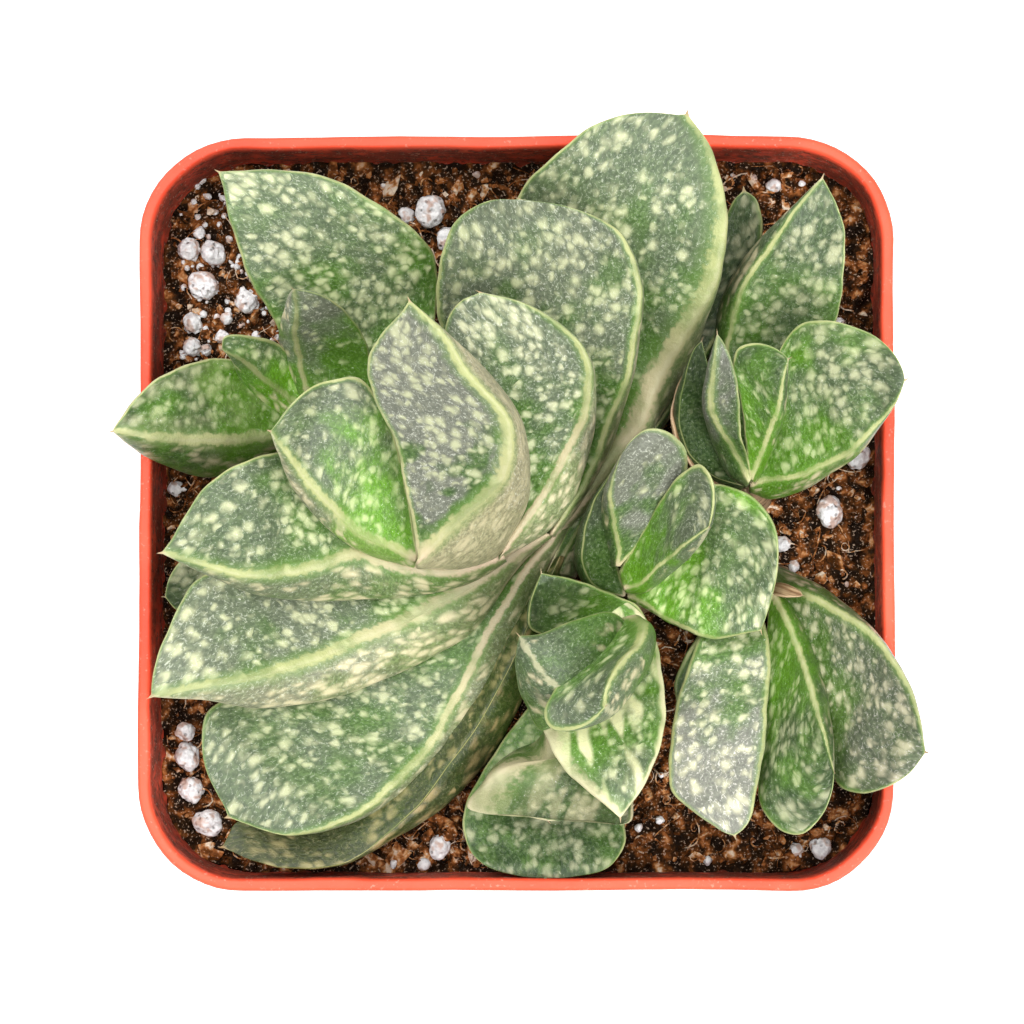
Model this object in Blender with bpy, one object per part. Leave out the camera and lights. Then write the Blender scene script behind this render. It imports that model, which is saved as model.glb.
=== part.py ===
"""Potted gasteria: a clump of six rosettes of thick keeled leaves in a square plastic nursery pot.

Built in metres with +Z up, standing on Z = 0 with the pot's centre on the Z axis. Sizes below are in
millimetres and are turned to metres where each mesh is made.
"""
from math import cos, pi, sin

import bmesh
import bpy
from mathutils import Vector

MM = 0.001

# Pot: a common 90 mm square nursery pot with a collar round its rim
RIM_SIDE = 90.0
RIM_HEIGHT = 80.0
RIM_CORNER = 12.5
RIM_WIDTH = 1.4
COLLAR_HEIGHT = 12.0
WALL = 1.2
LEDGE_SIDE = 84.0
FOOT_SIDE = 64.0
FOOT_CORNER = 8.0
FLOOR = 1.6
DRAIN_RADIUS = 3.2
DRAIN_OFFSET = 22.0

# Soil, with its surface about 10 mm under the rim
SOIL_HEIGHT = 70.2
SOIL_ROUGHNESS = 0.35
SOIL_RINGS = 9

# Gap left between any two pieces that touch
GAP = 0.3

# Stems: sides round them, and the scars that old leaves left
STEM_SIDES = 10
STEM_SCARS = 3

# Leaves: samples along each line and between its points, the share of a side that each round edge takes,
# the swell of the two flanks as a share of their width, how far up the last ring lies, how much closer
# the rings come towards the tip, and the length from which a leaf has finer rings
SAMPLES = 96
CURVE_STEPS = 12
EDGE_SHARE = 0.1
FLANK_SWELL = (0.1, 0.12)
LAST_RING = 0.985
RING_CROWDING = 1.25
LONG_LEAF = 32.0

# Each perlite grain that lies on the soil: x, y and diameter
PERLITE = [
    (-10.5, 37.0, 4.1), (-8.5, 33.5, 2.9), (-38.0, 28.0, 3.4), (-40.0, 32.5, 2.7), (-37.0, 32.0, 3.0),
    (-33.0, 26.0, 2.7), (-39.5, 23.5, 2.7), (-39.5, 20.5, 2.2), (-40.0, -26.0, 2.3), (-40.0, -29.0, 3.4),
    (-39.5, -33.0, 2.9), (-37.5, -37.0, 3.3), (-9.5, -40.0, 2.7), (41.0, 7.0, 3.1), (37.5, 0.5, 3.8),
    (32.0, -3.5, 2.2), (33.5, -40.5, 2.2), (36.5, -40.0, 2.5), (-13.5, 36.5, 2.0), (31.0, 40.0, 1.8),
]


def smooth_line(points):
    """Samples, evenly spaced, of a smooth curve that starts at the first point and ends at the last."""
    points = [Vector(p) for p in points]
    points = [2 * points[0] - points[1]] + points + [2 * points[-1] - points[-2]]
    dense = []
    for a, b, c, d in zip(points, points[1:], points[2:], points[3:]):
        t1 = (b - a).length ** 0.5
        t2 = t1 + (c - b).length ** 0.5
        t3 = t2 + (d - c).length ** 0.5
        for k in range(CURVE_STEPS):
            t = t1 + (t2 - t1) * k / CURVE_STEPS
            ab = a.lerp(b, t / t1)
            bc = b.lerp(c, (t - t1) / (t2 - t1))
            cd = c.lerp(d, (t - t2) / (t3 - t2))
            dense.append(ab.lerp(bc, t / t2).lerp(bc.lerp(cd, (t - t1) / (t3 - t1)), (t - t1) / (t2 - t1)))
    dense.append(points[-2])
    run = [0.0]
    for a, b in zip(dense, dense[1:]):
        run.append(run[-1] + (b - a).length)
    samples, k = [], 0
    for step in range(SAMPLES + 1):
        wanted = run[-1] * step / SAMPLES
        while k < len(run) - 2 and run[k + 1] < wanted:
            k += 1
        samples.append(dense[k].lerp(dense[k + 1], (wanted - run[k]) / (run[k + 1] - run[k])))
    return samples


class Leaf:
    """One leaf, given by the lines of its left margin, right margin and keel, from the base to the tip.

    hollow is the depth of the trough along its upper face.
    """

    def __init__(self, name, tip, left, right, keel, hollow=0.3):
        self.name = name
        self.tip = Vector(tip)
        self.lines = [smooth_line(line + [tip]) for line in (left, right, keel)]
        self.half_width = max((a - b).length for a, b in zip(*self.lines[:2])) / 2
        self.hollow = hollow

    def length(self):
        return sum((b - a).length for a, b in zip(self.lines[2], self.lines[2][1:]))

    def section(self, u, across, under):
        """Closed ring of points round the leaf at u: upper face, flank and underside, with round edges."""
        k = min(int(u * SAMPLES), SAMPLES - 1)
        left, right, keel = (line[k].lerp(line[k + 1], u * SAMPLES - k) for line in self.lines)
        half = (right - left).length / 2
        middle = (left + right) / 2
        side = (right - left).normalized()
        shift = (keel - middle).dot(side)
        down = keel - middle - side * shift
        face = -down.normalized()
        corners = [Vector((-half, 0)), Vector((half, 0)), Vector((shift, -down.length))]
        sides = [(corners[i], corners[(i + 1) % 3]) for i in range(3)]
        # A sunken upper face and swollen flanks
        sinks = [self.hollow * half / self.half_width, -FLANK_SWELL[0] * (sides[1][1] - sides[1][0]).length,
                 -FLANK_SWELL[1] * (sides[2][1] - sides[2][0]).length]
        spans = [across, 2, under]
        ring = []
        for i in range(3):
            a, b = sides[i]
            for j in range(spans[i]):
                s = EDGE_SHARE + (1 - 2 * EDGE_SHARE) * j / (spans[i] - 1)
                ring.append(bowed(a, b, sinks[i], s))
            start = bowed(*sides[(i + 1) % 3], sinks[(i + 1) % 3], EDGE_SHARE)
            ring.append((ring[-1] + start) * 0.25 + b * 0.5)
        return [middle + side * p.x + face * p.y for p in ring]

    def mesh(self):
        """A closed bmesh of the leaf, in metres."""
        large = self.length() > LONG_LEAF
        steps = round(6 + self.length() / 8)
        across, under = (4, 3) if large else (3, 3)
        stations = [LAST_RING * (1 - (1 - k / steps) ** RING_CROWDING) for k in range(steps + 1)]
        rings = [self.section(u, across, under) for u in stations]
        tip = self.tip + (self.tip - sum(rings[-1], Vector()) / len(rings[-1])).normalized() * GAP
        foot = sum(rings[0], Vector()) / len(rings[0])
        bm = bmesh.new()
        made = [[bm.verts.new(p * MM) for p in ring] for ring in rings]
        for low, high in zip(made, made[1:]):
            for k in range(len(low)):
                n = (k + 1) % len(low)
                bm.faces.new((low[k], low[n], high[n]))
                bm.faces.new((low[k], high[n], high[k]))
        for ring, middle in ((made[0], foot), (made[-1], tip)):
            hub = bm.verts.new(middle * MM)
            for k in range(len(ring)):
                bm.faces.new((ring[k], ring[(k + 1) % len(ring)], hub))
        bmesh.ops.recalc_face_normals(bm, faces=bm.faces)
        return bm


def bowed(a, b, sink, s):
    """Point at s on the arc from a to b that sinks by this much to the right of its travel."""
    d = b - a
    normal = Vector((d.y, -d.x)).normalized()
    control = (a + b) / 2 + normal * 2 * sink
    return a * (1 - s) ** 2 + control * (2 * s * (1 - s)) + b * s ** 2


# Each rosette's leaves, the innermost and highest first, since a leaf is cut clear of those before it
MAIN_LEAVES = [
    Leaf("main_leaf_1", (-11.0, 22.2, 114),
         left=[(-11.1, -5.8, 91), (-12.6, 2.4, 97), (-14.0, 8.2, 102), (-15.7, 11.4, 104),
               (-16.5, 15.0, 108), (-14.5, 18.8, 112)],
         right=[(-11.3, -6.4, 91), (-6.1, -1.8, 95), (-1.7, 2.0, 98), (0.2, 5.8, 102), (-0.2, 9.3, 105),
                (-2.3, 12.0, 107), (-4.6, 14.5, 109), (-7.8, 19.2, 113)],
         keel=[(-11.1, -6.8, 86), (-6.3, -7.1, 83), (-1.9, -5.5, 82), (-0.1, -2.7, 83), (1.6, 0.9, 86),
               (1.7, 4.5, 89), (1.0, 8.9, 93), (-0.5, 12.4, 97), (-3.4, 16.1, 103), (-7.0, 18.9, 110)],
         hollow=0.3),
    Leaf("main_leaf_2", (-27.6, 8.2, 102),
         left=[(-11.5, -6.1, 88), (-14.5, -4.7, 88), (-18.6, -2.6, 90), (-22.1, 0.9, 94), (-25.2, 4.7, 98)],
         right=[(-11.2, -5.5, 88), (-11.8, 0.4, 90), (-12.9, 6.0, 93), (-14.4, 11.1, 96),
                (-17.2, 14.7, 99), (-20.3, 14.6, 100), (-23.8, 13.0, 102)],
         keel=[(-11.7, -6.5, 83), (-15.5, -5.8, 83), (-19.4, -4.5, 86), (-23.1, -1.6, 90),
               (-25.9, 2.1, 94), (-27.1, 6.0, 99)],
         hollow=0.4),
    Leaf("main_leaf_3", (-3.5, 24.4, 100),
         left=[(-2.0, -6.0, 82), (-5.3, 1.4, 82), (-7.8, 9.4, 86), (-9.0, 16.0, 92), (-8.3, 20.6, 96),
               (-6.3, 23.4, 99)],
         right=[(-1.7, -5.4, 84), (0.7, -2.1, 85), (3.2, 1.4, 86), (5.3, 4.6, 88), (7.1, 7.9, 90),
                (8.7, 11.2, 93.5), (9.2, 15.6, 98), (7.2, 19.3, 101), (2.5, 22.7, 101)],
         keel=[(-1.6, -5.7, 80.5), (1.7, -4.0, 79.5), (3.9, -2.6, 79.5), (5.7, -0.6, 80.5), (7.5, 2.0, 82),
               (8.6, 5.0, 84), (9.2, 8.2, 86), (9.5, 11.5, 89), (8.8, 15.9, 93), (5.7, 20.4, 98),
               (0.5, 23.5, 99.5)],
         hollow=0.4),
    Leaf("main_leaf_4", (-40.8, -5.5, 95),
         left=[(-1.3, -5.3, 83), (-5.3, -6.7, 82.5), (-8.9, -7.4, 82.5), (-14.0, -6.6, 84),
               (-18.5, -5.4, 86), (-23.0, -6.8, 88), (-29.5, -8.1, 91), (-35.8, -6.9, 94)],
         right=[(-1.8, -4.5, 81), (-6.6, -0.9, 80), (-13.7, 3.8, 81), (-21.8, 6.9, 85), (-27.4, 7.1, 89),
                (-31.4, 5.8, 92), (-36.4, 2.0, 94)],
         keel=[(-1.2, -5.7, 79), (-4.1, -7.8, 78), (-8.1, -9.4, 78), (-13.8, -10.5, 79),
               (-17.5, -10.8, 80.5), (-24.3, -11.0, 82.5), (-30.6, -10.2, 86), (-36.0, -8.0, 91.5)],
         hollow=0.5),
    Leaf("main_leaf_5", (1.0, 35.5, 97),
         left=[(3.6, -2.7, 77), (-2.0, 5.3, 76), (-6.9, 13.4, 80), (-9.1, 21.2, 87), (-9.2, 27.8, 92),
               (-7.0, 33.0, 95), (-3.4, 35.3, 97)],
         right=[(4.1, -2.6, 80), (6.0, -0.2, 80.5), (8.1, 2.7, 81), (9.6, 6.1, 82), (10.9, 9.5, 84),
                (12.5, 12.9, 86), (14.4, 19.0, 91.5), (14.9, 26.5, 95), (12.8, 31.5, 97), (7.1, 34.5, 97)],
         keel=[(4.5, -2.9, 76.5), (7.0, 0.2, 76.5), (9.4, 4.2, 77), (11.1, 7.5, 78.5), (12.7, 11.5, 81),
               (14.0, 19.5, 85), (13.9, 27.3, 90), (10.3, 32.8, 95)],
         hollow=0.4),
    Leaf("main_leaf_6", (-42.5, -22.1, 89),
         left=[(3.9, -2.6, 80), (0.5, -4.7, 79.5), (-1.9, -6.5, 79), (-4.9, -8.4, 79), (-9.0, -10.8, 79.5),
               (-14.3, -13.4, 80.5), (-23.8, -17.6, 83), (-29.8, -19.6, 86), (-36.2, -20.8, 88.5)],
         right=[(2.9, -2.1, 79), (-1.9, -2.0, 78), (-11.5, -3.8, 78), (-22.2, -4.2, 79),
                (-31.5, -5.3, 82.5), (-37.4, -7.8, 86), (-40.6, -13.0, 88), (-42.6, -19.5, 89)],
         keel=[(4.0, -2.8, 76.5), (1.6, -4.8, 75.5), (-0.7, -7.9, 75), (-2.6, -11.0, 74.5),
               (-5.0, -14.6, 74.5), (-9.2, -17.1, 75), (-13.9, -19.5, 76), (-20.9, -22.3, 78),
               (-29.6, -23.7, 81), (-36.4, -22.8, 86.5)],
         hollow=0.5),
    Leaf("main_leaf_7", (20.5, 46.0, 92),
         left=[(5.0, -1.5, 76), (2.2, 11.3, 75), (-1.0, 21.9, 78), (-1.5, 31.1, 82.5), (0.1, 37.1, 87),
               (3.7, 40.9, 90), (9.1, 44.9, 92), (14.9, 46.4, 92)],
         right=[(5.2, -1.7, 77), (7.3, 0.6, 77.5), (9.8, 3.9, 78), (12.4, 7.5, 79), (15.1, 10.9, 80.5),
                (17.7, 16.7, 82.5), (21.4, 22.2, 85.5), (24.2, 27.5, 88), (25.1, 34.4, 90),
                (23.7, 41.5, 91)],
         keel=[(5.7, -2.1, 73.5), (8.4, 0.8, 73.5), (11.4, 4.6, 74), (15.4, 8.9, 75), (20.0, 15.8, 76.5),
               (22.7, 23.5, 79.5), (23.8, 31.0, 83), (23.4, 38.8, 87.5)],
         hollow=0.5),
    Leaf("main_leaf_8", (-33.9, -36.3, 83),
         left=[(6.2, -0.2, 77), (3.6, -3.9, 76.5), (1.1, -6.9, 76), (-0.9, -10.3, 76), (-2.8, -13.4, 76),
               (-4.8, -17.3, 76), (-7.2, -22.3, 76), (-10.3, -27.7, 77), (-14.4, -32.4, 78.5),
               (-20.2, -36.8, 80.5), (-27.2, -38.5, 82)],
         right=[(5.7, 0.2, 76), (0.4, -5.5, 75), (-4.4, -11.5, 75), (-15.2, -16.9, 75.5),
                (-25.8, -20.2, 78), (-33.3, -21.2, 81), (-36.8, -23.8, 83), (-37.0, -30.1, 83)],
         keel=[(6.6, -0.6, 73.5), (5.2, -3.7, 73), (3.7, -6.8, 72.5), (2.1, -10.5, 72.5),
               (0.1, -15.3, 72.5), (-2.3, -20.1, 73), (-5.4, -25.1, 73.5), (-10.2, -30.9, 74),
               (-14.9, -34.6, 75), (-23.4, -37.6, 78)],
         hollow=0.4),
    Leaf("main_leaf_9", (27.2, 38.1, 83),
         left=[(3.5, -6.9, 74.5), (4.7, -4.0, 74.5), (6.6, -0.3, 75), (9.4, 3.6, 75), (12.6, 7.7, 75),
               (16.6, 14.2, 76), (21.1, 25.5, 77.5), (23.9, 31.9, 80), (25.2, 36.2, 82)],
         right=[(4.7, -7.0, 74), (6.1, -4.1, 74), (8.2, -0.7, 74.5), (10.8, 2.9, 75), (14.1, 7.1, 75),
                (19.0, 13.4, 76), (24.0, 21.1, 77), (27.7, 27.5, 79), (29.7, 33.2, 81.5), (28.9, 36.9, 83)],
         keel=[(7.5, -7.8, 71.5), (8.5, -4.9, 71.5), (9.2, -1.5, 71.5), (11.9, 2.5, 71.5),
               (15.4, 7.2, 71.5), (19.4, 13.3, 72), (23.7, 21.1, 72.5), (26.9, 27.7, 73.5),
               (28.3, 32.8, 77)],
         hollow=0.3),
    Leaf("main_leaf_10", (-35.1, -39.9, 78),
         left=[(5.2, -5.0, 75), (2.8, -10.3, 75), (-0.2, -16.9, 76), (-2.3, -21.3, 76.5),
               (-4.6, -25.2, 77), (-7.9, -29.9, 77.5), (-12.4, -35.6, 78.5), (-19.9, -41.6, 79.5),
               (-27.8, -42.6, 79.5)],
         right=[(4.2, -5.5, 74), (0.4, -10.5, 74), (-2.6, -15.7, 74), (-5.6, -21.1, 74), (-9.8, -26.5, 75),
                (-15.1, -31.2, 76), (-25.8, -35.2, 77), (-33.6, -36.4, 77.5)],
         keel=[(5.9, -5.6, 71.5), (4.2, -10.9, 71.5), (2.7, -16.8, 71.5), (0.5, -23.2, 71.5),
               (-2.8, -29.1, 72), (-7.8, -34.6, 73.5), (-14.0, -38.3, 75), (-22.2, -41.1, 77)],
         hollow=0.3),
]
NORTHWEST_LEAVES = [
    Leaf("northwest_leaf_1", (-25.6, 25.4, 94),
         left=[(-24.8, 13.9, 80), (-25.7, 17.1, 82), (-26.0, 20.1, 86), (-25.6, 23.0, 91)],
         right=[(-16.5, 14.0, 79), (-16.9, 18.3, 82), (-18.2, 21.8, 87), (-20.4, 24.0, 91),
                (-23.1, 25.1, 93)],
         keel=[(-26.1, 14.0, 75), (-27.7, 17.4, 76), (-28.3, 21.0, 79), (-27.6, 23.5, 85),
               (-26.6, 25.0, 90)],
         hollow=0.6),
    Leaf("northwest_leaf_2", (-34.4, 18.8, 88),
         left=[(-25.6, 11.9, 78), (-28.0, 14.2, 80), (-30.5, 16.2, 83), (-32.4, 17.6, 86)],
         right=[(-24.4, 14.1, 78), (-26.0, 17.6, 80), (-27.7, 20.0, 83), (-29.8, 20.7, 86),
                (-32.3, 20.8, 88), (-34.0, 20.5, 88.5)],
         keel=[(-27.2, 10.6, 73), (-30.0, 11.5, 74), (-32.4, 14.1, 76), (-33.5, 16.6, 80),
               (-33.9, 18.1, 85)],
         hollow=0.3),
    Leaf("northwest_leaf_3", (-34.9, 39.9, 88),
         left=[(-20.5, 9.9, 76), (-25.1, 14.8, 78), (-28.1, 20.9, 81), (-30.8, 25.7, 84),
               (-32.7, 29.9, 86), (-34.0, 35.1, 88)],
         right=[(-17.1, 10.7, 76), (-11.5, 17.2, 78), (-9.0, 25.4, 80), (-9.2, 30.3, 83),
                (-12.1, 33.6, 86), (-16.4, 36.6, 88), (-21.6, 39.1, 89), (-28.1, 40.2, 89)],
         keel=[(-19.1, 10.2, 71), (-18.8, 17.7, 71), (-20.5, 26.0, 74), (-24.5, 32.8, 78),
               (-30.0, 37.9, 84)],
         hollow=0.3),
    Leaf("northwest_leaf_4", (-47.2, 9.1, 89),
         left=[(-26.0, 9.9, 76), (-29.5, 9.0, 78), (-34.0, 8.5, 81), (-38.5, 8.2, 84), (-42.9, 8.5, 87),
               (-45.4, 8.9, 88.5)],
         right=[(-24.8, 13.7, 76), (-28.9, 17.0, 78), (-33.4, 18.5, 81), (-37.3, 18.3, 84),
                (-41.2, 16.3, 87), (-44.5, 13.2, 89), (-46.5, 10.4, 89.5)],
         keel=[(-26.4, 9.3, 70), (-29.4, 7.4, 71), (-33.5, 5.0, 73), (-38.0, 4.2, 76), (-42.4, 5.5, 80),
               (-45.5, 7.2, 85)],
         hollow=0.4),
    Leaf("northwest_leaf_5", (-42.0, -10.0, 78),
         left=[(-22.3, 6.9, 75), (-25.8, 0.1, 75.3), (-29.4, -5.5, 75.7), (-33.2, -9.7, 76.3),
               (-37.4, -12.1, 77.1), (-40.3, -12.0, 77.7)],
         right=[(-25.7, 9.1, 75), (-30.7, 3.6, 75.3), (-35.0, -0.6, 75.7), (-38.4, -3.6, 76.3),
                (-40.7, -5.8, 77.1), (-41.7, -7.5, 77.7)],
         keel=[(-24.0, 7.9, 71.6), (-28.4, 1.7, 71.3), (-32.4, -3.3, 71.5), (-36.2, -7.0, 72.5),
               (-39.6, -9.2, 74.5), (-41.4, -9.9, 76.4)],
         hollow=0.3),
]
NORTHEAST_LEAVES = [
    Leaf("northeast_leaf_1", (23.8, 19.6, 99),
         left=[(27.7, 3.3, 84), (26.4, 5.9, 85), (24.7, 8.4, 88), (23.3, 10.8, 91), (22.8, 12.6, 94),
               (23.1, 15.0, 97), (23.5, 17.5, 99)],
         right=[(28.1, 3.8, 84), (27.6, 6.0, 86), (27.0, 8.0, 89), (26.9, 10.7, 92), (26.5, 13.6, 95),
                (25.9, 16.4, 98), (24.9, 18.4, 99)],
         keel=[(27.7, 3.0, 80), (25.5, 3.8, 80), (23.8, 6.7, 82), (22.7, 10.0, 86), (22.2, 12.6, 90),
               (22.8, 16.3, 95)],
         hollow=0.2),
    Leaf("northeast_leaf_2", (32.1, 16.8, 97),
         left=[(27.8, 3.8, 84), (27.3, 6.4, 86), (26.8, 9.7, 89), (26.2, 13.0, 92), (25.4, 16.3, 95),
               (26.0, 18.2, 97), (28.2, 18.9, 98), (30.5, 18.3, 98)],
         right=[(28.1, 3.6, 84), (29.0, 5.8, 86), (30.1, 8.3, 89), (31.0, 11.0, 92), (31.5, 13.6, 95),
                (31.8, 15.6, 96)],
         keel=[(28.3, 3.3, 80), (29.7, 5.9, 80), (30.9, 8.6, 83), (31.9, 11.6, 87), (32.1, 14.2, 92)],
         hollow=0.4),
    Leaf("northeast_leaf_3", (22.1, 19.5, 91),
         left=[(27.3, 3.1, 79), (23.8, 4.1, 79), (20.8, 6.4, 81), (19.6, 9.6, 83), (19.4, 12.9, 86),
               (20.3, 16.5, 89), (21.2, 18.6, 90.5)],
         right=[(27.8, 3.5, 79), (26.5, 6.1, 81), (24.9, 9.5, 84), (23.8, 12.8, 87), (23.2, 16.1, 90)],
         keel=[(27.0, 2.9, 74), (22.6, 4.8, 73), (19.6, 7.8, 74), (18.9, 10.6, 77), (19.6, 14.4, 82),
               (21.0, 17.5, 88)],
         hollow=0.3),
    Leaf("northeast_leaf_4", (45.7, 14.6, 93),
         left=[(27.9, 4.0, 81), (28.8, 9.6, 83), (29.9, 15.8, 86), (31.9, 20.4, 88), (34.2, 22.0, 90),
               (37.6, 22.0, 92), (41.1, 20.8, 93), (43.9, 18.6, 94), (45.4, 16.2, 94)],
         right=[(27.9, 3.0, 81), (30.2, 3.6, 82), (33.7, 3.9, 84), (37.2, 5.3, 86), (40.4, 7.2, 89),
                (43.1, 9.9, 91), (44.9, 12.3, 93)],
         keel=[(27.8, 2.9, 75), (30.1, 1.7, 75), (34.0, 2.8, 76), (37.4, 4.8, 79), (41.1, 7.3, 84)],
         hollow=0.8),
    Leaf("northeast_leaf_5", (36.3, 38.9, 89),
         left=[(27.0, 5.2, 77), (25.6, 13.5, 78), (25.1, 19.3, 80), (25.8, 23.3, 82), (27.2, 26.8, 84),
               (29.3, 30.0, 86), (31.9, 33.5, 88), (34.4, 36.7, 89)],
         right=[(29.2, 5.2, 77), (33.9, 13.5, 78), (37.7, 20.4, 81), (39.1, 25.5, 84), (39.5, 30.0, 86),
                (39.0, 33.9, 88), (37.7, 37.1, 89)],
         keel=[(27.5, 4.9, 71), (25.1, 14.0, 71), (24.1, 20.5, 73), (24.3, 24.5, 76), (26.2, 28.7, 79),
               (29.1, 32.5, 83), (32.6, 35.5, 87)],
         hollow=0.3),
    Leaf("northeast_dried_bract", (22.5, 19.0, 85),
         left=[(24.6, 2.8, 77.9), (21.3, 5.2, 80.2), (19.2, 8.2, 82.1), (18.6, 11.8, 83.6),
               (19.7, 15.5, 84.7), (21.3, 17.9, 85)],
         right=[(24.4, 4.2, 76.1), (21.7, 7.0, 78.3), (20.5, 9.8, 80.2), (20.4, 12.4, 81.9),
                (21.0, 15.3, 83.4), (21.9, 17.6, 84.4)],
         keel=[(24.0, 2.9, 76.8), (20.8, 5.7, 79), (18.9, 8.8, 80.8), (18.7, 12.3, 82.4),
               (19.9, 15.7, 83.8), (21.4, 17.9, 84.6)],
         hollow=0.0),
]
EAST_LEAVES = [
    Leaf("east_leaf_1", (12.6, 5.6, 96),
         left=[(12.0, -6.5, 81), (12.2, -4.4, 83), (11.7, -2.2, 86), (11.2, 0.4, 89), (11.5, 2.7, 93),
               (12.1, 4.5, 95)],
         right=[(12.4, -6.5, 81), (16.0, -2.9, 84), (19.3, 1.3, 87), (20.9, 4.8, 90), (20.5, 7.1, 92),
                (18.6, 8.7, 94), (16.0, 9.1, 95), (14.0, 7.7, 96)],
         keel=[(11.8, -6.5, 77), (11.0, -3.8, 78), (10.4, -0.3, 80), (10.8, 2.9, 86), (11.9, 4.9, 92)],
         hollow=0.4),
    Leaf("east_leaf_2", (22.9, -2.4, 92),
         left=[(12.2, -6.9, 80), (13.4, -4.8, 82), (15.4, -1.4, 85), (17.4, 1.6, 88), (19.8, 4.4, 91),
               (21.8, 5.3, 93), (23.1, 3.6, 94), (23.5, 0.7, 93)],
         right=[(12.9, -9.3, 80), (14.6, -8.8, 81), (16.6, -7.2, 84), (18.6, -5.5, 87), (20.7, -3.9, 90)],
         keel=[(13.4, -9.4, 76), (15.4, -9.4, 76), (17.8, -8.0, 78), (20.1, -6.4, 82), (22.1, -4.4, 88)],
         hollow=0.3),
    Leaf("east_leaf_3", (11.8, 4.8, 87),
         left=[(12.9, -10.0, 77), (10.0, -9.2, 77), (8.2, -7.1, 78), (7.8, -4.3, 80), (8.3, -1.3, 82),
               (9.6, 1.5, 84)],
         right=[(13.1, -9.7, 77), (12.7, -7.4, 78), (12.0, -5.7, 80), (11.7, -2.8, 82), (11.8, 0.0, 84),
                (12.0, 2.5, 86)],
         keel=[(12.6, -10.0, 72), (9.9, -9.4, 71), (7.9, -7.2, 72), (7.2, -4.3, 74), (7.9, -1.4, 77),
               (9.4, 1.7, 82)],
         hollow=0.1),
    Leaf("east_leaf_4", (29.1, -14.2, 82),
         left=[(13.4, -9.1, 76), (16.0, -3.8, 78), (20.8, 2.0, 81), (23.7, 3.6, 82), (26.9, 2.6, 84),
               (29.6, 0.3, 85), (31.1, -3.0, 86), (31.2, -6.6, 86), (30.5, -10.3, 84), (29.7, -12.8, 83)],
         right=[(13.2, -10.0, 76), (15.4, -11.1, 77), (18.1, -13.0, 78), (20.7, -14.5, 80),
                (23.7, -15.3, 81), (26.6, -14.9, 82)],
         keel=[(13.6, -9.9, 71), (16.6, -10.6, 70), (20.8, -11.6, 71), (25.0, -11.7, 74), (27.9, -12.6, 78)],
         hollow=0.5),
]
SOUTH_LEAVES = [
    Leaf("south_leaf_1", (10.9, -23.3, 97),
         left=[(13.9, -12.4, 86), (15.4, -13.3, 89), (15.1, -15.5, 92), (13.1, -17.3, 95),
               (11.7, -19.7, 97), (10.9, -21.7, 97)],
         right=[(12.0, -13.0, 86), (10.1, -15.1, 88), (7.2, -18.0, 90), (4.6, -21.3, 92), (3.3, -24.0, 93),
                (3.9, -25.9, 94), (6.2, -26.2, 95), (8.8, -25.3, 96)],
         keel=[(15.0, -13.1, 82), (16.3, -15.5, 83), (15.9, -18.6, 85), (14.3, -21.5, 88),
               (12.3, -24.0, 92)],
         hollow=0.3),
    Leaf("south_leaf_2", (0.8, -15.1, 93),
         left=[(14.8, -15.3, 84), (13.4, -12.8, 86), (11.5, -11.8, 88), (9.0, -12.4, 90), (6.1, -13.4, 92),
               (3.2, -14.6, 93)],
         right=[(5.3, -24.7, 83), (3.0, -26.2, 84), (1.5, -23.8, 86), (0.3, -21.3, 88), (-0.0, -18.7, 90),
                (0.3, -16.7, 92)],
         keel=[(10.1, -22.5, 88), (6.9, -21.9, 91), (4.6, -20.7, 92.5), (3.0, -18.8, 93.5),
               (1.7, -16.7, 94)],
         hollow=0.1),
    Leaf("south_leaf_3", (12.5, -36.3, 88),
         left=[(10.1, -9.0, 80), (14.3, -10.9, 80), (16.6, -14.4, 81), (17.8, -19.4, 83),
               (18.0, -24.2, 85), (17.1, -28.9, 87), (15.2, -33.0, 88)],
         right=[(5.3, -15.2, 79), (3.1, -21.2, 80), (2.7, -24.7, 82), (3.7, -27.6, 84), (5.9, -30.8, 86),
                (9.2, -33.8, 88)],
         keel=[(7.6, -13.9, 74), (9.0, -19.9, 74), (10.2, -25.9, 77), (11.5, -31.8, 82)],
         hollow=0.4),
    Leaf("south_leaf_4", (3.2, -7.5, 86),
         left=[(14.8, -15.1, 77), (10.0, -15.2, 78), (5.3, -15.2, 80), (1.9, -14.3, 82), (1.6, -12.0, 84),
               (2.3, -9.5, 86)],
         right=[(16.0, -13.4, 77), (14.8, -11.2, 79), (12.2, -9.8, 81), (9.6, -8.8, 83), (6.6, -8.0, 85),
                (4.6, -7.6, 86)],
         keel=[(15.4, -15.0, 72), (10.0, -15.0, 72), (5.2, -13.3, 74), (2.7, -10.4, 79)],
         hollow=0.3),
    Leaf("south_leaf_5", (3.9, -36.7, 82),
         left=[(10.0, -22.3, 75), (13.0, -29.5, 78), (14.4, -34.2, 80), (14.1, -36.9, 81), (8.9, -36.9, 82)],
         right=[(4.0, -26.5, 77), (3.5, -29.7, 79), (0.5, -29.8, 80), (-2.2, -30.6, 81), (-4.4, -32.8, 81),
                (-5.9, -35.1, 82), (-4.1, -35.8, 82), (-0.0, -36.0, 82)],
         keel=[(4.5, -24.0, 71), (1.2, -26.8, 72), (-1.5, -30.1, 73), (-0.2, -33.6, 76)],
         hollow=0.2),
    Leaf("south_leaf_6", (3.5, -43.5, 79),
         left=[(8.8, -21.1, 73), (11.8, -29.5, 75), (13.2, -36.0, 77), (13.2, -39.6, 78),
               (11.4, -42.2, 79), (7.6, -43.3, 79)],
         right=[(2.8, -21.0, 73), (-4.4, -30.7, 75), (-6.6, -36.0, 77), (-6.3, -39.6, 78),
                (-4.2, -41.9, 79), (-0.4, -43.2, 79)],
         keel=[(5.7, -21.0, 68), (3.9, -29.4, 69), (3.3, -36.7, 71), (3.4, -41.2, 75)],
         hollow=0.1),
]
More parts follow.
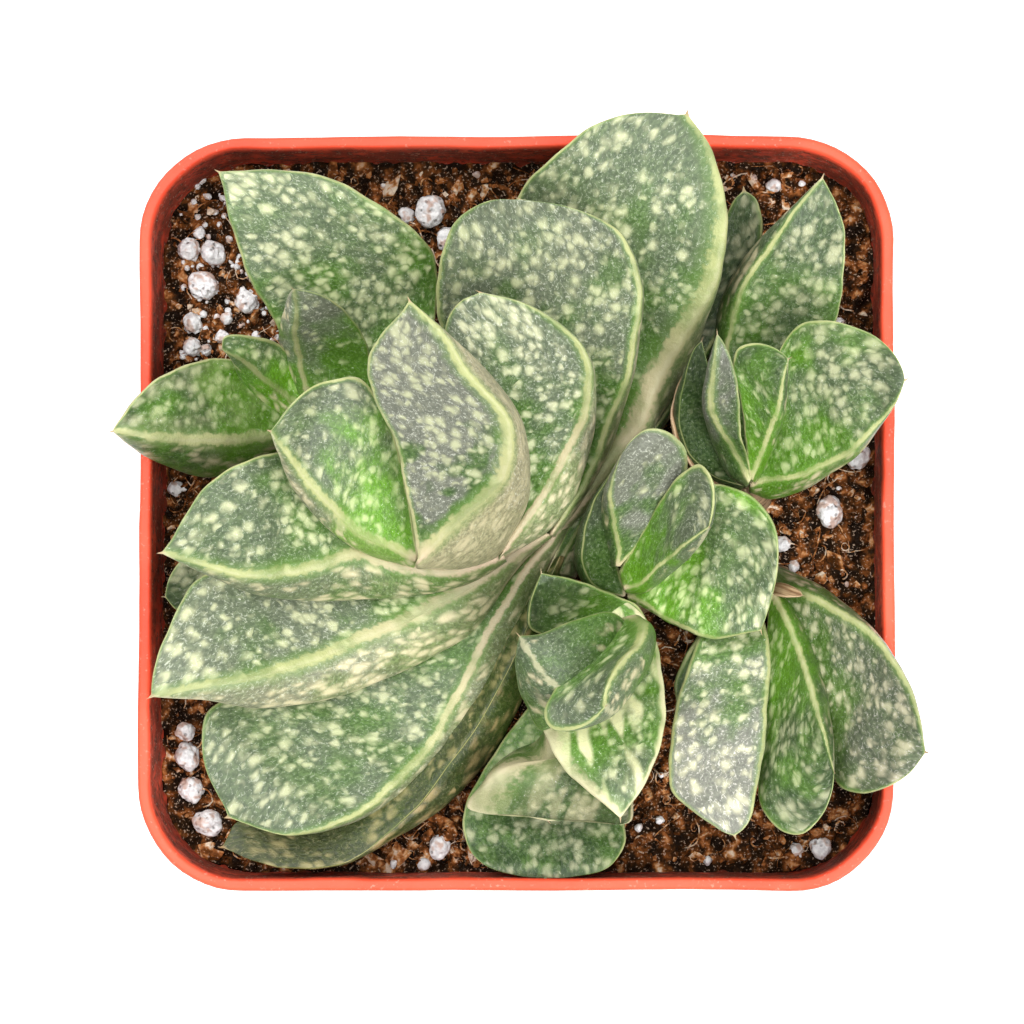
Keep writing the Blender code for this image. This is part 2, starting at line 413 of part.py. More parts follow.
SOUTHEAST_LEAVES = [
    Leaf("southeast_leaf_1", (37.5, -30.8, 88),
         left=[(30.7, -9.5, 80), (32.1, -12.4, 82), (33.6, -16.3, 84), (34.9, -20.8, 86),
               (36.1, -25.3, 88), (36.9, -28.5, 88)],
         right=[(30.0, -9.8, 80), (29.5, -16.4, 79), (29.0, -23.5, 80), (28.5, -30.6, 81),
                (28.9, -35.6, 83), (31.0, -38.1, 84), (33.6, -38.6, 85), (35.9, -36.5, 86),
                (37.2, -33.6, 87)],
         keel=[(31.3, -9.4, 75), (33.2, -12.3, 76), (35.3, -16.4, 78), (36.8, -21.2, 80), (37.6, -25.7, 84)],
         hollow=0.2),
    Leaf("southeast_leaf_2", (25.9, -38.4, 86),
         left=[(27.7, -9.2, 77), (30.0, -13.4, 79), (30.4, -18.8, 81), (30.0, -24.2, 83),
               (29.3, -30.1, 85), (28.5, -34.4, 86), (27.6, -37.2, 86)],
         right=[(26.1, -9.2, 77), (21.9, -14.6, 78), (19.9, -19.4, 80), (18.7, -24.2, 82),
                (17.9, -29.5, 84), (18.4, -33.2, 85), (21.2, -35.9, 86), (24.1, -37.9, 86)],
         keel=[(27.1, -9.0, 71), (25.4, -15.0, 71), (24.1, -22.3, 73), (23.7, -29.5, 76), (24.2, -34.8, 81)],
         hollow=0.3),
    Leaf("southeast_leaf_3", (48.1, -28.6, 90),
         left=[(30.5, -9.0, 77), (33.2, -9.3, 79), (36.3, -10.6, 82), (39.5, -12.5, 85), (42.4, -14.8, 87),
               (44.7, -17.8, 89), (46.5, -21.3, 90), (47.6, -25.4, 91)],
         right=[(30.3, -9.9, 77), (32.1, -16.4, 78), (34.4, -22.9, 80), (36.3, -28.9, 81),
                (38.1, -32.9, 83), (40.9, -33.6, 85), (43.8, -32.9, 88), (46.3, -31.3, 89)],
         keel=[(30.6, -5.6, 72), (33.7, -7.3, 72), (37.4, -9.9, 73), (41.4, -15.1, 74), (44.0, -21.1, 76),
               (46.1, -26.5, 81)],
         hollow=0.7),
    Leaf("southeast_leaf_4", (19.1, -22.5, 75.5),
         left=[(26.2, -10.2, 73), (23.8, -15.1, 74), (21.6, -18.7, 75), (20.0, -21.1, 75.5)],
         right=[(25.0, -9.0, 73), (22.0, -13.9, 74), (19.9, -17.5, 75), (19.0, -20.5, 75.5)],
         keel=[(25.6, -9.7, 70), (23.0, -14.5, 70), (20.7, -18.4, 71), (19.5, -21.1, 73)],
         hollow=0.2),
    Leaf("southeast_dried_bract", (34.1, -10.0, 81),
         left=[(29.8, -8.3, 77.3), (30.8, -8.2, 78.7), (31.8, -8.3, 79.7), (32.7, -8.6, 80.4),
               (33.4, -9.0, 80.7), (33.9, -9.5, 80.9)],
         right=[(29.2, -9.7, 77.7), (30.0, -9.8, 79.3), (30.9, -9.9, 80.5), (31.8, -10.1, 81.2),
                (32.9, -10.2, 81.5), (33.7, -10.2, 81.3)],
         keel=[(30.0, -9.5, 77.2), (30.9, -9.7, 78.6), (31.7, -9.8, 79.6), (32.4, -10.0, 80.2),
               (33.1, -10.0, 80.7), (33.7, -10.0, 80.9)],
         hollow=0.0),
]

# Each rosette's stem: name, foot in the soil, top, radius and leaves
ROSETTES = [
    ("main_stem", (5, -7, 58), (2, -5, 72), 4.6, MAIN_LEAVES),
    ("northwest_stem", (-20, 9, 60), (-20, 10, 74), 3.6, NORTHWEST_LEAVES),
    ("northeast_stem", (28, 1, 60), (28, 3.5, 75), 3.0, NORTHEAST_LEAVES),
    ("east_stem", (15, -11, 60), (13.2, -9.6, 73.5), 3.0, EAST_LEAVES),
    ("south_stem", (9, -20, 60), (8.5, -19, 75), 3.6, SOUTH_LEAVES),
    ("southeast_stem", (32, -7, 60), (31, -9.2, 73.5), 3.0, SOUTHEAST_LEAVES),
]


def clear_scene():
    for obj in list(bpy.data.objects):
        bpy.data.objects.remove(obj, do_unlink=True)


def add_object(name, bm, material=None):
    mesh = bpy.data.meshes.new(name)
    bm.to_mesh(mesh)
    bm.free()
    obj = bpy.data.objects.new(name, mesh)
    bpy.context.scene.collection.objects.link(obj)
    if material:
        obj.data.materials.append(material)
    return obj


def make_material(name, color, roughness):
    material = bpy.data.materials.new(name)
    material.use_nodes = True
    shader = material.node_tree.nodes["Principled BSDF"]
    shader.inputs["Base Color"].default_value = (*color, 1.0)
    shader.inputs["Roughness"].default_value = roughness
    return material


def swollen(obj, distance):
    """A copy of the object that is larger by this distance all round, to cut its neighbours with."""
    bm = bmesh.new()
    bm.from_mesh(obj.data)
    bm.normal_update()
    steps = [v.normal * distance * min(v.calc_shell_factor(), 1.6) for v in bm.verts]
    for v, step in zip(bm.verts, steps):
        v.co += step
    copy = add_object(obj.name + "_cutter", bm)
    copy.hide_render = True
    copy.display_type = "WIRE"
    return copy


def bounds(obj):
    points = [v.co for v in obj.data.vertices]
    return [(min(p[i] for p in points), max(p[i] for p in points)) for i in range(3)]


def boxes_meet(a, b):
    return all(low <= other_high and other_low <= high
               for (low, high), (other_low, other_high) in zip(a, b))


def combine(obj, others, operation):
    """Applies one Boolean with all of the others to the object, and removes them."""
    if not others:
        return
    group = bpy.data.collections.new(operation.lower())
    bpy.context.scene.collection.children.link(group)
    for other in others:
        bpy.context.scene.collection.objects.unlink(other)
        group.objects.link(other)
    modifier = obj.modifiers.new(operation, "BOOLEAN")
    modifier.operation = operation
    modifier.solver = "MANIFOLD"
    modifier.operand_type = "COLLECTION"
    modifier.collection = group
    graph = bpy.context.evaluated_depsgraph_get()
    mesh = bpy.data.meshes.new_from_object(obj.evaluated_get(graph))
    obj.modifiers.clear()
    obj.data = mesh
    for other in others:
        bpy.data.objects.remove(other, do_unlink=True)
    bpy.data.collections.remove(group)


def keep_largest(obj):
    """Drops the loose scraps that a cut leaves, counting as one body the faces that join along edges."""
    bm = bmesh.new()
    bm.from_mesh(obj.data)
    seen, bodies = set(), []
    for start in bm.faces:
        if start in seen:
            continue
        seen.add(start)
        body, waiting = [], [start]
        while waiting:
            face = waiting.pop()
            body.append(face)
            for edge in face.edges:
                if len(edge.link_faces) == 2:
                    for other in edge.link_faces:
                        if other not in seen:
                            seen.add(other)
                            waiting.append(other)
        bodies.append(body)
    bodies.sort(key=len)
    for body in bodies[:-1]:
        bmesh.ops.delete(bm, geom=body, context="FACES")
    bm.to_mesh(obj.data)
    bm.free()


def rounded_square(side, corner, z, per_corner=8):
    """Points round a square with round corners, anticlockwise, in millimetres."""
    reach = side / 2 - corner
    points = []
    for quarter in range(4):
        middle = Vector((reach, reach)) if quarter == 0 else Vector(
            ((-reach, reach), (-reach, -reach), (reach, -reach))[quarter - 1])
        for k in range(per_corner):
            angle = pi / 2 * (quarter + k / (per_corner - 1))
            points.append(Vector((middle.x + corner * cos(angle), middle.y + corner * sin(angle), z)))
    return points


def loft(bm, rings, close_first=True, close_last=True):
    """Faces between rings of as many points each, with the first and the last ring filled."""
    made = [[bm.verts.new(p * MM) for p in ring] for ring in rings]
    for low, high in zip(made, made[1:]):
        for k in range(len(low)):
            n = (k + 1) % len(low)
            bm.faces.new((low[k], low[n], high[n], high[k]))
    if close_first:
        bm.faces.new(list(reversed(made[0])))
    if close_last:
        bm.faces.new(made[-1])


def cylinder(name, start, end, radius, sides=16):
    """A plain round bar from start to end, to drill with."""
    start, end = Vector(start), Vector(end)
    bm = bmesh.new()
    turn = (end - start).to_track_quat("Z", "Y")
    rings = [[p + turn @ Vector((radius * cos(2 * pi * k / sides), radius * sin(2 * pi * k / sides), 0))
              for k in range(sides)] for p in (start, end)]
    loft(bm, rings)
    return add_object(name, bm)


def build_pot(material):
    """Tapered thin walls, a collar that steps out round the rim, a flat foot and four drain holes."""
    ledge = RIM_HEIGHT - COLLAR_HEIGHT
    outside = [
        (FOOT_SIDE - 1.6, FOOT_CORNER - 0.8, 0.0),
        (FOOT_SIDE, FOOT_CORNER, 0.8),
        (LEDGE_SIDE, RIM_CORNER - 2.0, ledge - 2.0),
        (RIM_SIDE - 0.8, RIM_CORNER, ledge),
        (RIM_SIDE, RIM_CORNER, ledge + 0.6),
        (RIM_SIDE, RIM_CORNER, RIM_HEIGHT - 0.4),
        (RIM_SIDE - 0.6, RIM_CORNER - 0.3, RIM_HEIGHT),
    ]
    inner = RIM_SIDE - 2 * RIM_WIDTH
    inside = [
        (inner + 0.5, RIM_CORNER - RIM_WIDTH, RIM_HEIGHT),
        (inner, RIM_CORNER - RIM_WIDTH, RIM_HEIGHT - 0.3),
        (inner - 1.2, RIM_CORNER - RIM_WIDTH, ledge + 1.4),
        (LEDGE_SIDE - 2 * WALL, RIM_CORNER - 3.0, ledge - 1.6),
        (FOOT_SIDE - 2 * WALL, FOOT_CORNER - WALL, FLOOR),
    ]
    bm = bmesh.new()
    loft(bm, [rounded_square(*size) for size in outside + inside])
    pot = add_object("pot", bm, material)
    drills = [cylinder("drain_cutter", (x, y, -5), (x, y, 8), DRAIN_RADIUS)
              for x in (-DRAIN_OFFSET, DRAIN_OFFSET) for y in (-DRAIN_OFFSET, DRAIN_OFFSET)]
    combine(pot, drills, "DIFFERENCE")
    return pot


def soil_relief(x, y):
    """Height of the soil's lumps above its mean surface."""
    return SOIL_ROUGHNESS * (sin(0.71 * x + 1.3) * cos(0.83 * y) + 0.8 * sin(1.9 * x + 0.6 * y)
                             * cos(1.7 * y - 0.5 * x) + 0.5 * sin(2.9 * x - 2.1 * y))


def build_soil(material):
    """The block of potting mix that fills the pot, with a lumpy surface and perlite grains fused to it."""
    ledge = RIM_HEIGHT - COLLAR_HEIGHT
    inner = RIM_SIDE - 2 * RIM_WIDTH - 1.0 - 2 * GAP
    sides = [
        (FOOT_SIDE - 2 * WALL - 2 * GAP, FOOT_CORNER - WALL, FLOOR + GAP),
        (LEDGE_SIDE - 2 * WALL - 2 * GAP, RIM_CORNER - 3.0, ledge - 1.6),
        (inner - 0.6, RIM_CORNER - RIM_WIDTH - 0.5, ledge + 1.6),
    ]
    rings = [rounded_square(*size) for size in sides]
    for step in range(SOIL_RINGS):
        share = 1 - step / SOIL_RINGS
        ring = rounded_square(inner * share, (RIM_CORNER - RIM_WIDTH) * share, SOIL_HEIGHT)
        rings.append([Vector((p.x, p.y, p.z + soil_relief(p.x, p.y))) for p in ring])
    bm = bmesh.new()
    loft(bm, rings)
    soil = add_object("soil", bm, material)
    grains = []
    for x, y, diameter in PERLITE:
        bm = bmesh.new()
        place = Vector((x, y, SOIL_HEIGHT + 0.25 * diameter + soil_relief(x, y)))
        bmesh.ops.create_icosphere(bm, subdivisions=1, radius=diameter / 2 * MM)
        bmesh.ops.translate(bm, verts=bm.verts, vec=place * MM)
        grains.append(add_object("grain", bm))
    combine(soil, grains, "UNION")
    return soil


def build_stem(name, foot, top, radius, material):
    """A short ringed stem, with the scars of old leaves round it and a domed top."""
    foot, top = Vector(foot), Vector(top)
    turn = (top - foot).to_track_quat("Z", "Y")
    length = (top - foot).length
    profile = [(0.0, 0.75), (0.12, 0.9)]
    for ring in range(STEM_SCARS):
        start = 0.2 + 0.22 * ring
        profile += [(start, 1.0), (start + 0.12, 0.93)]
    profile += [(0.9, 0.85), (0.97, 0.6), (1.0, 0.3)]
    bm = bmesh.new()
    angles = [2 * pi * k / STEM_SIDES for k in range(STEM_SIDES)]
    loft(bm, [[foot + turn @ Vector((radius * r * cos(a), radius * r * sin(a), length * h)) for a in angles]
              for h, r in profile])
    return add_object(name, bm, material)


def build():
    clear_scene()
    plastic = make_material("pot_plastic", (0.87, 0.12, 0.06), 0.45)
    mix = make_material("potting_mix", (0.035, 0.02, 0.012), 0.95)
    flesh = make_material("leaf_flesh", (0.06, 0.16, 0.06), 0.4)
    bark = make_material("stem_skin", (0.45, 0.33, 0.2), 0.7)
    dry = make_material("dry_bract", (0.5, 0.36, 0.2), 0.8)
    pot = build_pot(plastic)
    soil = build_soil(mix)
    stems = [build_stem(name, foot, top, radius, bark) for name, foot, top, radius, _ in ROSETTES]
    holes = [cylinder("stem_hole_cutter", Vector(foot) - Vector((0, 0, 0.6)), top, radius + GAP, 24)
             for name, foot, top, radius, _ in ROSETTES]
    combine(soil, holes, "DIFFERENCE")
    # Each leaf is cut clear of the stems, the pot and the leaves above it
    cutters = [swollen(obj, GAP * MM) for obj in stems + [pot]]
    boxes = [bounds(cutter) for cutter in cutters]
    whole = [add_object(leaf.name, leaf.mesh(), dry if "bract" in leaf.name else flesh)
             for *_, rosette in ROSETTES for leaf in rosette]
    for obj in whole:
        cutter = swollen(obj, GAP * MM)
        box = bounds(obj)
        near = [k for k, other in enumerate(boxes) if boxes_meet(box, other)]
        used = []
        for k in near:
            copy = cutters[k].copy()
            bpy.context.scene.collection.objects.link(copy)
            used.append(copy)
        combine(obj, used, "DIFFERENCE")
        keep_largest(obj)
        cutters.append(cutter)
        boxes.append(bounds(cutter))
    low = [cutter for cutter, box in zip(cutters[len(stems) + 1:], boxes[len(stems) + 1:])
           if box[2][0] < (SOIL_HEIGHT + 2.5) * MM]
    for cutter in cutters:
        if cutter not in low:
            bpy.data.objects.remove(cutter, do_unlink=True)
    combine(soil, low, "DIFFERENCE")
    keep_largest(soil)


build()
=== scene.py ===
"""The looks of a potted gasteria: a clump of spotted, keeled leaves in a square coral plastic pot.

Distances are in millimetres with +Z up and the pot's centre on the Z axis, and turn to metres where
each mesh is made. Up in the photograph is +Y.
"""
import random
from math import cos, pi, radians, sin, sqrt

import bmesh
import bpy
import numpy as np
from mathutils import Matrix, Vector, noise


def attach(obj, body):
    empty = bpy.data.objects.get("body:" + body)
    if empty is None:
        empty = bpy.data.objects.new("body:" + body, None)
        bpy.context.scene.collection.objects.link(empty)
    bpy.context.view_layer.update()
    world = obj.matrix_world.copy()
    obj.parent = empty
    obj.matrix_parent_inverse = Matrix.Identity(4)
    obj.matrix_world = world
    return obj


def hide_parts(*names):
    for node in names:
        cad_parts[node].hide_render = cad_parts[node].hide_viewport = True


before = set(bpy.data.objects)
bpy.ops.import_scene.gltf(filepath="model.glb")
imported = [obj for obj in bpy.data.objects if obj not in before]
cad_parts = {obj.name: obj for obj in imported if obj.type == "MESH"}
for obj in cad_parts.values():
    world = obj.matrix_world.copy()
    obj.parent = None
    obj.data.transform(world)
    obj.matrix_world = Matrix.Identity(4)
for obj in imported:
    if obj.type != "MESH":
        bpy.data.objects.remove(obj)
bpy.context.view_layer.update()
MM = 0.001

# Camera, floor and light
# The pot stands on white paper and is seen from nearly straight above, through a long lens, between two
# soft lights to the north west and the south east and one overhead, with white all round.
CAMERA_TARGET = (0.0, 0.0, 80.0)
CAMERA_DISTANCE = 600.0
CAMERA_EAST = 1.6
CAMERA_SOUTH = 2.9
CAMERA_LENS = 177.2
PHOTO_SIDE = 1024
TARGET_RIGHT_OF_MIDDLE = 3.5


class Signal:
    """What one output of a shader node gives. Sums with it make the nodes that do them."""

    def __init__(self, socket):
        self.socket = socket
        self.tree = socket.id_data

    def __add__(self, other):
        return calc("ADD", self, other)

    def __sub__(self, other):
        return calc("SUBTRACT", self, other)

    def __rsub__(self, other):
        return calc("SUBTRACT", other, self)

    def __mul__(self, other):
        return calc("MULTIPLY", self, other)

    def __abs__(self):
        return calc("ABSOLUTE", self)

    def vector(self, operation, other):
        """A vector sum with another vector, or with a number where the operation is SCALE."""
        key = "Scale" if operation == "SCALE" else 1
        return new_signal(self.tree, "ShaderNodeVectorMath", "Vector", {0: self, key: other},
                          operation=operation)


def add_node(tree, kind, inputs=None, **settings):
    """One shader node. An input is a plain value, or the signal that feeds it."""
    node = tree.nodes.new(kind)
    for name, value in settings.items():
        setattr(node, name, value)
    for name, value in (inputs or {}).items():
        if isinstance(value, Signal):
            tree.links.new(value.socket, node.inputs[name])
        else:
            node.inputs[name].default_value = value
    return node


def new_signal(tree, kind, output, inputs=None, **settings):
    return Signal(add_node(tree, kind, inputs, **settings).outputs[output])


def calc(operation, first, second=0.5, clamp=False):
    """A sum of two numbers, at least one of them a signal."""
    tree = first.tree if isinstance(first, Signal) else second.tree
    return new_signal(tree, "ShaderNodeMath", "Value", {0: first, 1: second},
                      operation=operation, use_clamp=clamp)


def noise_at(place, scale, detail, roughness=0.5):
    """Smooth noise, from 0 to 1."""
    return new_signal(place.tree, "ShaderNodeTexNoise", "Fac", {
        "Vector": place, "Scale": scale, "Detail": detail, "Roughness": roughness})


def new_material(name, **values):
    """A material whose Principled shader has these constant values, and its tree and shader."""
    material = bpy.data.materials.new(name)
    material.use_nodes = True
    shader = material.node_tree.nodes["Principled BSDF"]
    for key, value in values.items():
        shader.inputs[key.replace("_", " ")].default_value = value
    return material, material.node_tree, shader


def finish_skin(shader, colour, height, strength, distance, roughness=None):
    """Gives the shader its colour and its roughness, and a bump of this height."""
    bump = new_signal(colour.tree, "ShaderNodeBump", "Normal", {
        "Height": height, "Strength": strength, "Distance": distance})
    for name, signal in (("Base Color", colour), ("Normal", bump), ("Roughness", roughness)):
        if signal:
            colour.tree.links.new(signal.socket, shader.inputs[name])


def place_camera():
    back = Vector((sin(radians(CAMERA_EAST)), -sin(radians(CAMERA_SOUTH)), 0))
    back.z = sqrt(1 - back.length_squared)
    right = Vector((0, 1, 0)).cross(back).normalized()
    up = back.cross(right)
    camera = bpy.data.objects.new("camera", bpy.data.cameras.new("camera"))
    turn = Matrix((right, up, back)).transposed().to_4x4()
    camera.matrix_world = Matrix.Translation((Vector(CAMERA_TARGET) + back * CAMERA_DISTANCE) * MM) @ turn
    camera.data.lens = CAMERA_LENS
    camera.data.sensor_width = 36.0
    camera.data.shift_x = -TARGET_RIGHT_OF_MIDDLE / PHOTO_SIDE
    camera.data.clip_start = 0.01
    bpy.context.scene.collection.objects.link(camera)
    bpy.context.scene.camera = camera


def add_soft_light(name, place, size, power):
    """A square white panel that faces the plant."""
    light = bpy.data.lights.new(name, "AREA")
    light.size = size * MM
    light.energy = power
    panel = bpy.data.objects.new(name, light)
    panel.location = Vector(place) * MM
    panel.rotation_euler = (Vector(place) - Vector(CAMERA_TARGET)).to_track_quat("Z", "Y").to_euler()
    bpy.context.scene.collection.objects.link(panel)


def add_floor():
    """Seamless white paper, bright enough of itself to hold no shadow edge, with a faint tooth."""
    bm = bmesh.new()
    bmesh.ops.create_grid(bm, x_segments=8, y_segments=8, size=1.5)
    mesh = bpy.data.meshes.new("paper_floor")
    bm.to_mesh(mesh)
    bm.free()
    floor = bpy.data.objects.new("paper_floor", mesh)
    bpy.context.scene.collection.objects.link(floor)
    material, tree, shader = new_material("white_paper", Roughness=0.9, Emission_Strength=0.62)
    tooth = noise_at(new_signal(tree, "ShaderNodeTexCoord", "Object"), 700.0, 3.0)
    tone = new_signal(tree, "ShaderNodeMapRange", "Result", {"Value": tooth, "To Min": 0.86, "To Max": 0.9})
    tree.links.new(tone.socket, shader.inputs["Emission Color"])
    finish_skin(shader, tone, tooth, 0.1, 0.0002)
    mesh.materials.append(material)


place_camera()
add_floor()
add_soft_light("north_west_panel", (-420, 520, 820), 560, 6.5)
add_soft_light("overhead_panel", (60, -60, 1050), 800, 7.5)
add_soft_light("south_east_panel", (470, -480, 640), 460, 7.0)
room = bpy.data.worlds.new("white_room")
room.use_nodes = True
room.node_tree.nodes["Background"].inputs["Color"].default_value = (0.95, 0.97, 1.0, 1.0)
room.node_tree.nodes["Background"].inputs["Strength"].default_value = 0.45
bpy.context.scene.world = room
bpy.context.scene.view_settings.view_transform = "Standard"

# Pot
# A square nursery pot of thin coral-red polypropylene, injection moulded, with a collar round the rim.
# The top of the rim waves a little, wet potting mix has dried on the inner wall, and painted shade darkens
# that wall.
RIM_SIDE = 90.0
RIM_HEIGHT = 80.0
RIM_CORNER = 12.5
RIM_WIDTH = 1.4
COLLAR_HEIGHT = 12.0
WALL = 1.2
LEDGE_SIDE = 84.0
FOOT_SIDE = 64.0
FOOT_CORNER = 8.0
FLOOR_THICKNESS = 1.6
DRAIN_RADIUS = 3.2
DRAIN_OFFSET = 22.0
DRILL_LENGTH = 12.0


def add_mesh(name, points, faces, material, node=None):
    """A smooth mesh object from points in millimetres, which rides on the root body."""
    mesh = bpy.data.meshes.new(name)
    mesh.from_pydata((np.asarray(points, float) * MM).tolist(), [], faces)
    mesh.polygons.foreach_set("use_smooth", [True] * len(mesh.polygons))
    mesh.materials.append(material)
    piece = bpy.data.objects.new(name, mesh)
    bpy.context.scene.collection.objects.link(piece)
    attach(piece, "root")
    if node:
        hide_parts(node)
    return piece


def set_floats(piece, name, values):
    piece.data.attributes.new(name, "FLOAT", "POINT").data.foreach_set(
        "value", np.asarray(values, np.float32))


def tube_faces(rings, sides, close_start=False, close_end=False):
    """Quads between rings of points that follow each other, with the ends filled if asked."""
    faces = []
    for r in range(rings - 1):
        for k in range(sides):
            n = (k + 1) % sides
            faces.append((r * sides + k, r * sides + n, (r + 1) * sides + n, (r + 1) * sides + k))
    if close_start:
        faces.append(tuple(reversed(range(sides))))
    if close_end:
        faces.append(tuple(range((rings - 1) * sides, rings * sides)))
    return faces


def rounded_square(side, corner, per_corner=14, per_side=20):
    """Points round a square with round corners, anticlockwise from the east side's north end."""
    reach = side / 2 - corner
    middles = [(reach, reach), (-reach, reach), (-reach, -reach), (reach, -reach)]
    points = []
    for quarter, (x, y) in enumerate(middles):
        for k in range(per_corner):
            angle = pi / 2 * (quarter + k / (per_corner - 1))
            points.append((x + corner * cos(angle), y + corner * sin(angle)))
        x2, y2 = middles[(quarter + 1) % 4]
        angle = pi / 2 * (quarter + 1)
        a = np.array((x + corner * cos(angle), y + corner * sin(angle)))
        b = np.array((x2 + corner * cos(angle), y2 + corner * sin(angle)))
        points += [tuple(a + (b - a) * (k + 1) / (per_side + 1)) for k in range(per_side)]
    return np.array(points)


def wobble(x, y, scale, layer):
    """Smooth noise over the plan, between about -1 and 1, and another one for each layer."""
    return noise.noise(Vector((x * scale, y * scale, layer)))


def new_group(name, place, numbers, results):
    """A node group that takes a place and these numbers, and the signals inside it of what it is given."""
    group = bpy.data.node_groups.new(name, "ShaderNodeTree")
    group.interface.new_socket(place, in_out="INPUT", socket_type="NodeSocketVector")
    for key, value in numbers.items():
        group.interface.new_socket(key, in_out="INPUT", socket_type="NodeSocketFloat").default_value = value
    for key in results:
        group.interface.new_socket(key, in_out="OUTPUT", socket_type="NodeSocketFloat")
    given = add_node(group, "NodeGroupInput")
    return group, {key: Signal(given.outputs[key]) for key in (place, *numbers)}


def add_grain_group():
    """Node group: the fine grain and the soft cloudiness of a moulded or grown surface."""
    group, given = new_group("surface_grain", "Vector", {"Grain per mm": 3.0, "Cloud per mm": 0.1},
                             ("Grain", "Cloud"))
    add_node(group, "NodeGroupOutput", {
        "Grain": noise_at(given["Vector"], given["Grain per mm"], 1.0, 0.6),
        "Cloud": noise_at(given["Vector"], given["Cloud per mm"], 2.0, 0.6)})
    return group


def place_in_mm(tree):
    """The point on the piece, in millimetres."""
    return new_signal(tree, "ShaderNodeTexCoord", "Object").vector("SCALE", 1000.0)


def carried(tree, name, output="Fac"):
    """What each point of the mesh carries under this name."""
    return new_signal(tree, "ShaderNodeAttribute", output, attribute_name=name)


def ramp(value, low, high, to_low=0.0, to_high=1.0):
    """Turns low..high into to_low..to_high with soft ends."""
    return new_signal(value.tree, "ShaderNodeMapRange", "Result", {
        "Value": value, "From Min": low, "From Max": high, "To Min": to_low, "To Max": to_high},
        interpolation_type="SMOOTHSTEP")


def blend(factor, first, second, kind="MIX"):
    """Mixes two colours. The factor or the first colour is a signal."""
    tree = factor.tree if isinstance(factor, Signal) else first.tree
    first, second = ((*part, 1.0) if isinstance(part, tuple) else part for part in (first, second))
    return new_signal(tree, "ShaderNodeMix", 2, {0: factor, 6: first, 7: second},
                      data_type="RGBA", blend_type=kind)


def use_group(group, inputs):
    """What a node group gives for these inputs, in the order of its outputs."""
    tree = next(iter(inputs.values())).tree
    return [Signal(socket) for socket in add_node(tree, "ShaderNodeGroup", inputs, node_tree=group).outputs]


def use_grain(place, grain_per_mm, cloud_per_mm):
    return use_group(surface_grain, {
        "Vector": place, "Grain per mm": grain_per_mm, "Cloud per mm": cloud_per_mm})


surface_grain = add_grain_group()


def make_pot_plastic():
    """Coral polypropylene: even colour, satin, dust and dried splashes with painted shade inside, scuffs
    outside.
    """
    material, tree, shader = new_material("pot_plastic", IOR=1.49, Specular_IOR_Level=0.3)
    place = place_in_mm(tree)
    grain, cloud = use_grain(place, 2.2, 0.07)
    soil, soil_cloud = use_grain(place, 1.1, 0.33)
    inside = carried(tree, "inner_wall")
    coral = blend(ramp(cloud, 0.35, 0.65), (0.9, 0.082, 0.036), (0.92, 0.105, 0.05))
    # Painted shade with soil stain: the whole inner wall is darkened, in patches, for the shade inside the
    # pot
    stain_and_shade = inside * ramp(soil_cloud, 0.25, 0.62, 0.35, 0.95)
    stained_and_shaded = blend(stain_and_shade, coral, (0.21, 0.035, 0.016))
    splash = inside * ramp(soil, 0.52, 0.66, 0.0, 0.75)
    muddy = blend(splash, stained_and_shaded, (0.05, 0.022, 0.012))
    lime = inside * ramp(grain, 0.62, 0.72, 0.0, 0.5)
    limed = blend(lime, muddy, (0.62, 0.36, 0.28))
    dust = ramp(grain, 0.6, 0.74, 0.0, 0.22) * ramp(soil_cloud, 0.4, 0.6)
    colour = blend(dust, limed, (0.95, 0.62, 0.5))
    dull = ramp(grain, 0.3, 0.7, 0.38, 0.5) + stain_and_shade * 0.3
    finish_skin(shader, colour, grain + splash * 1.5, 0.12, 0.0003, dull)
    return material


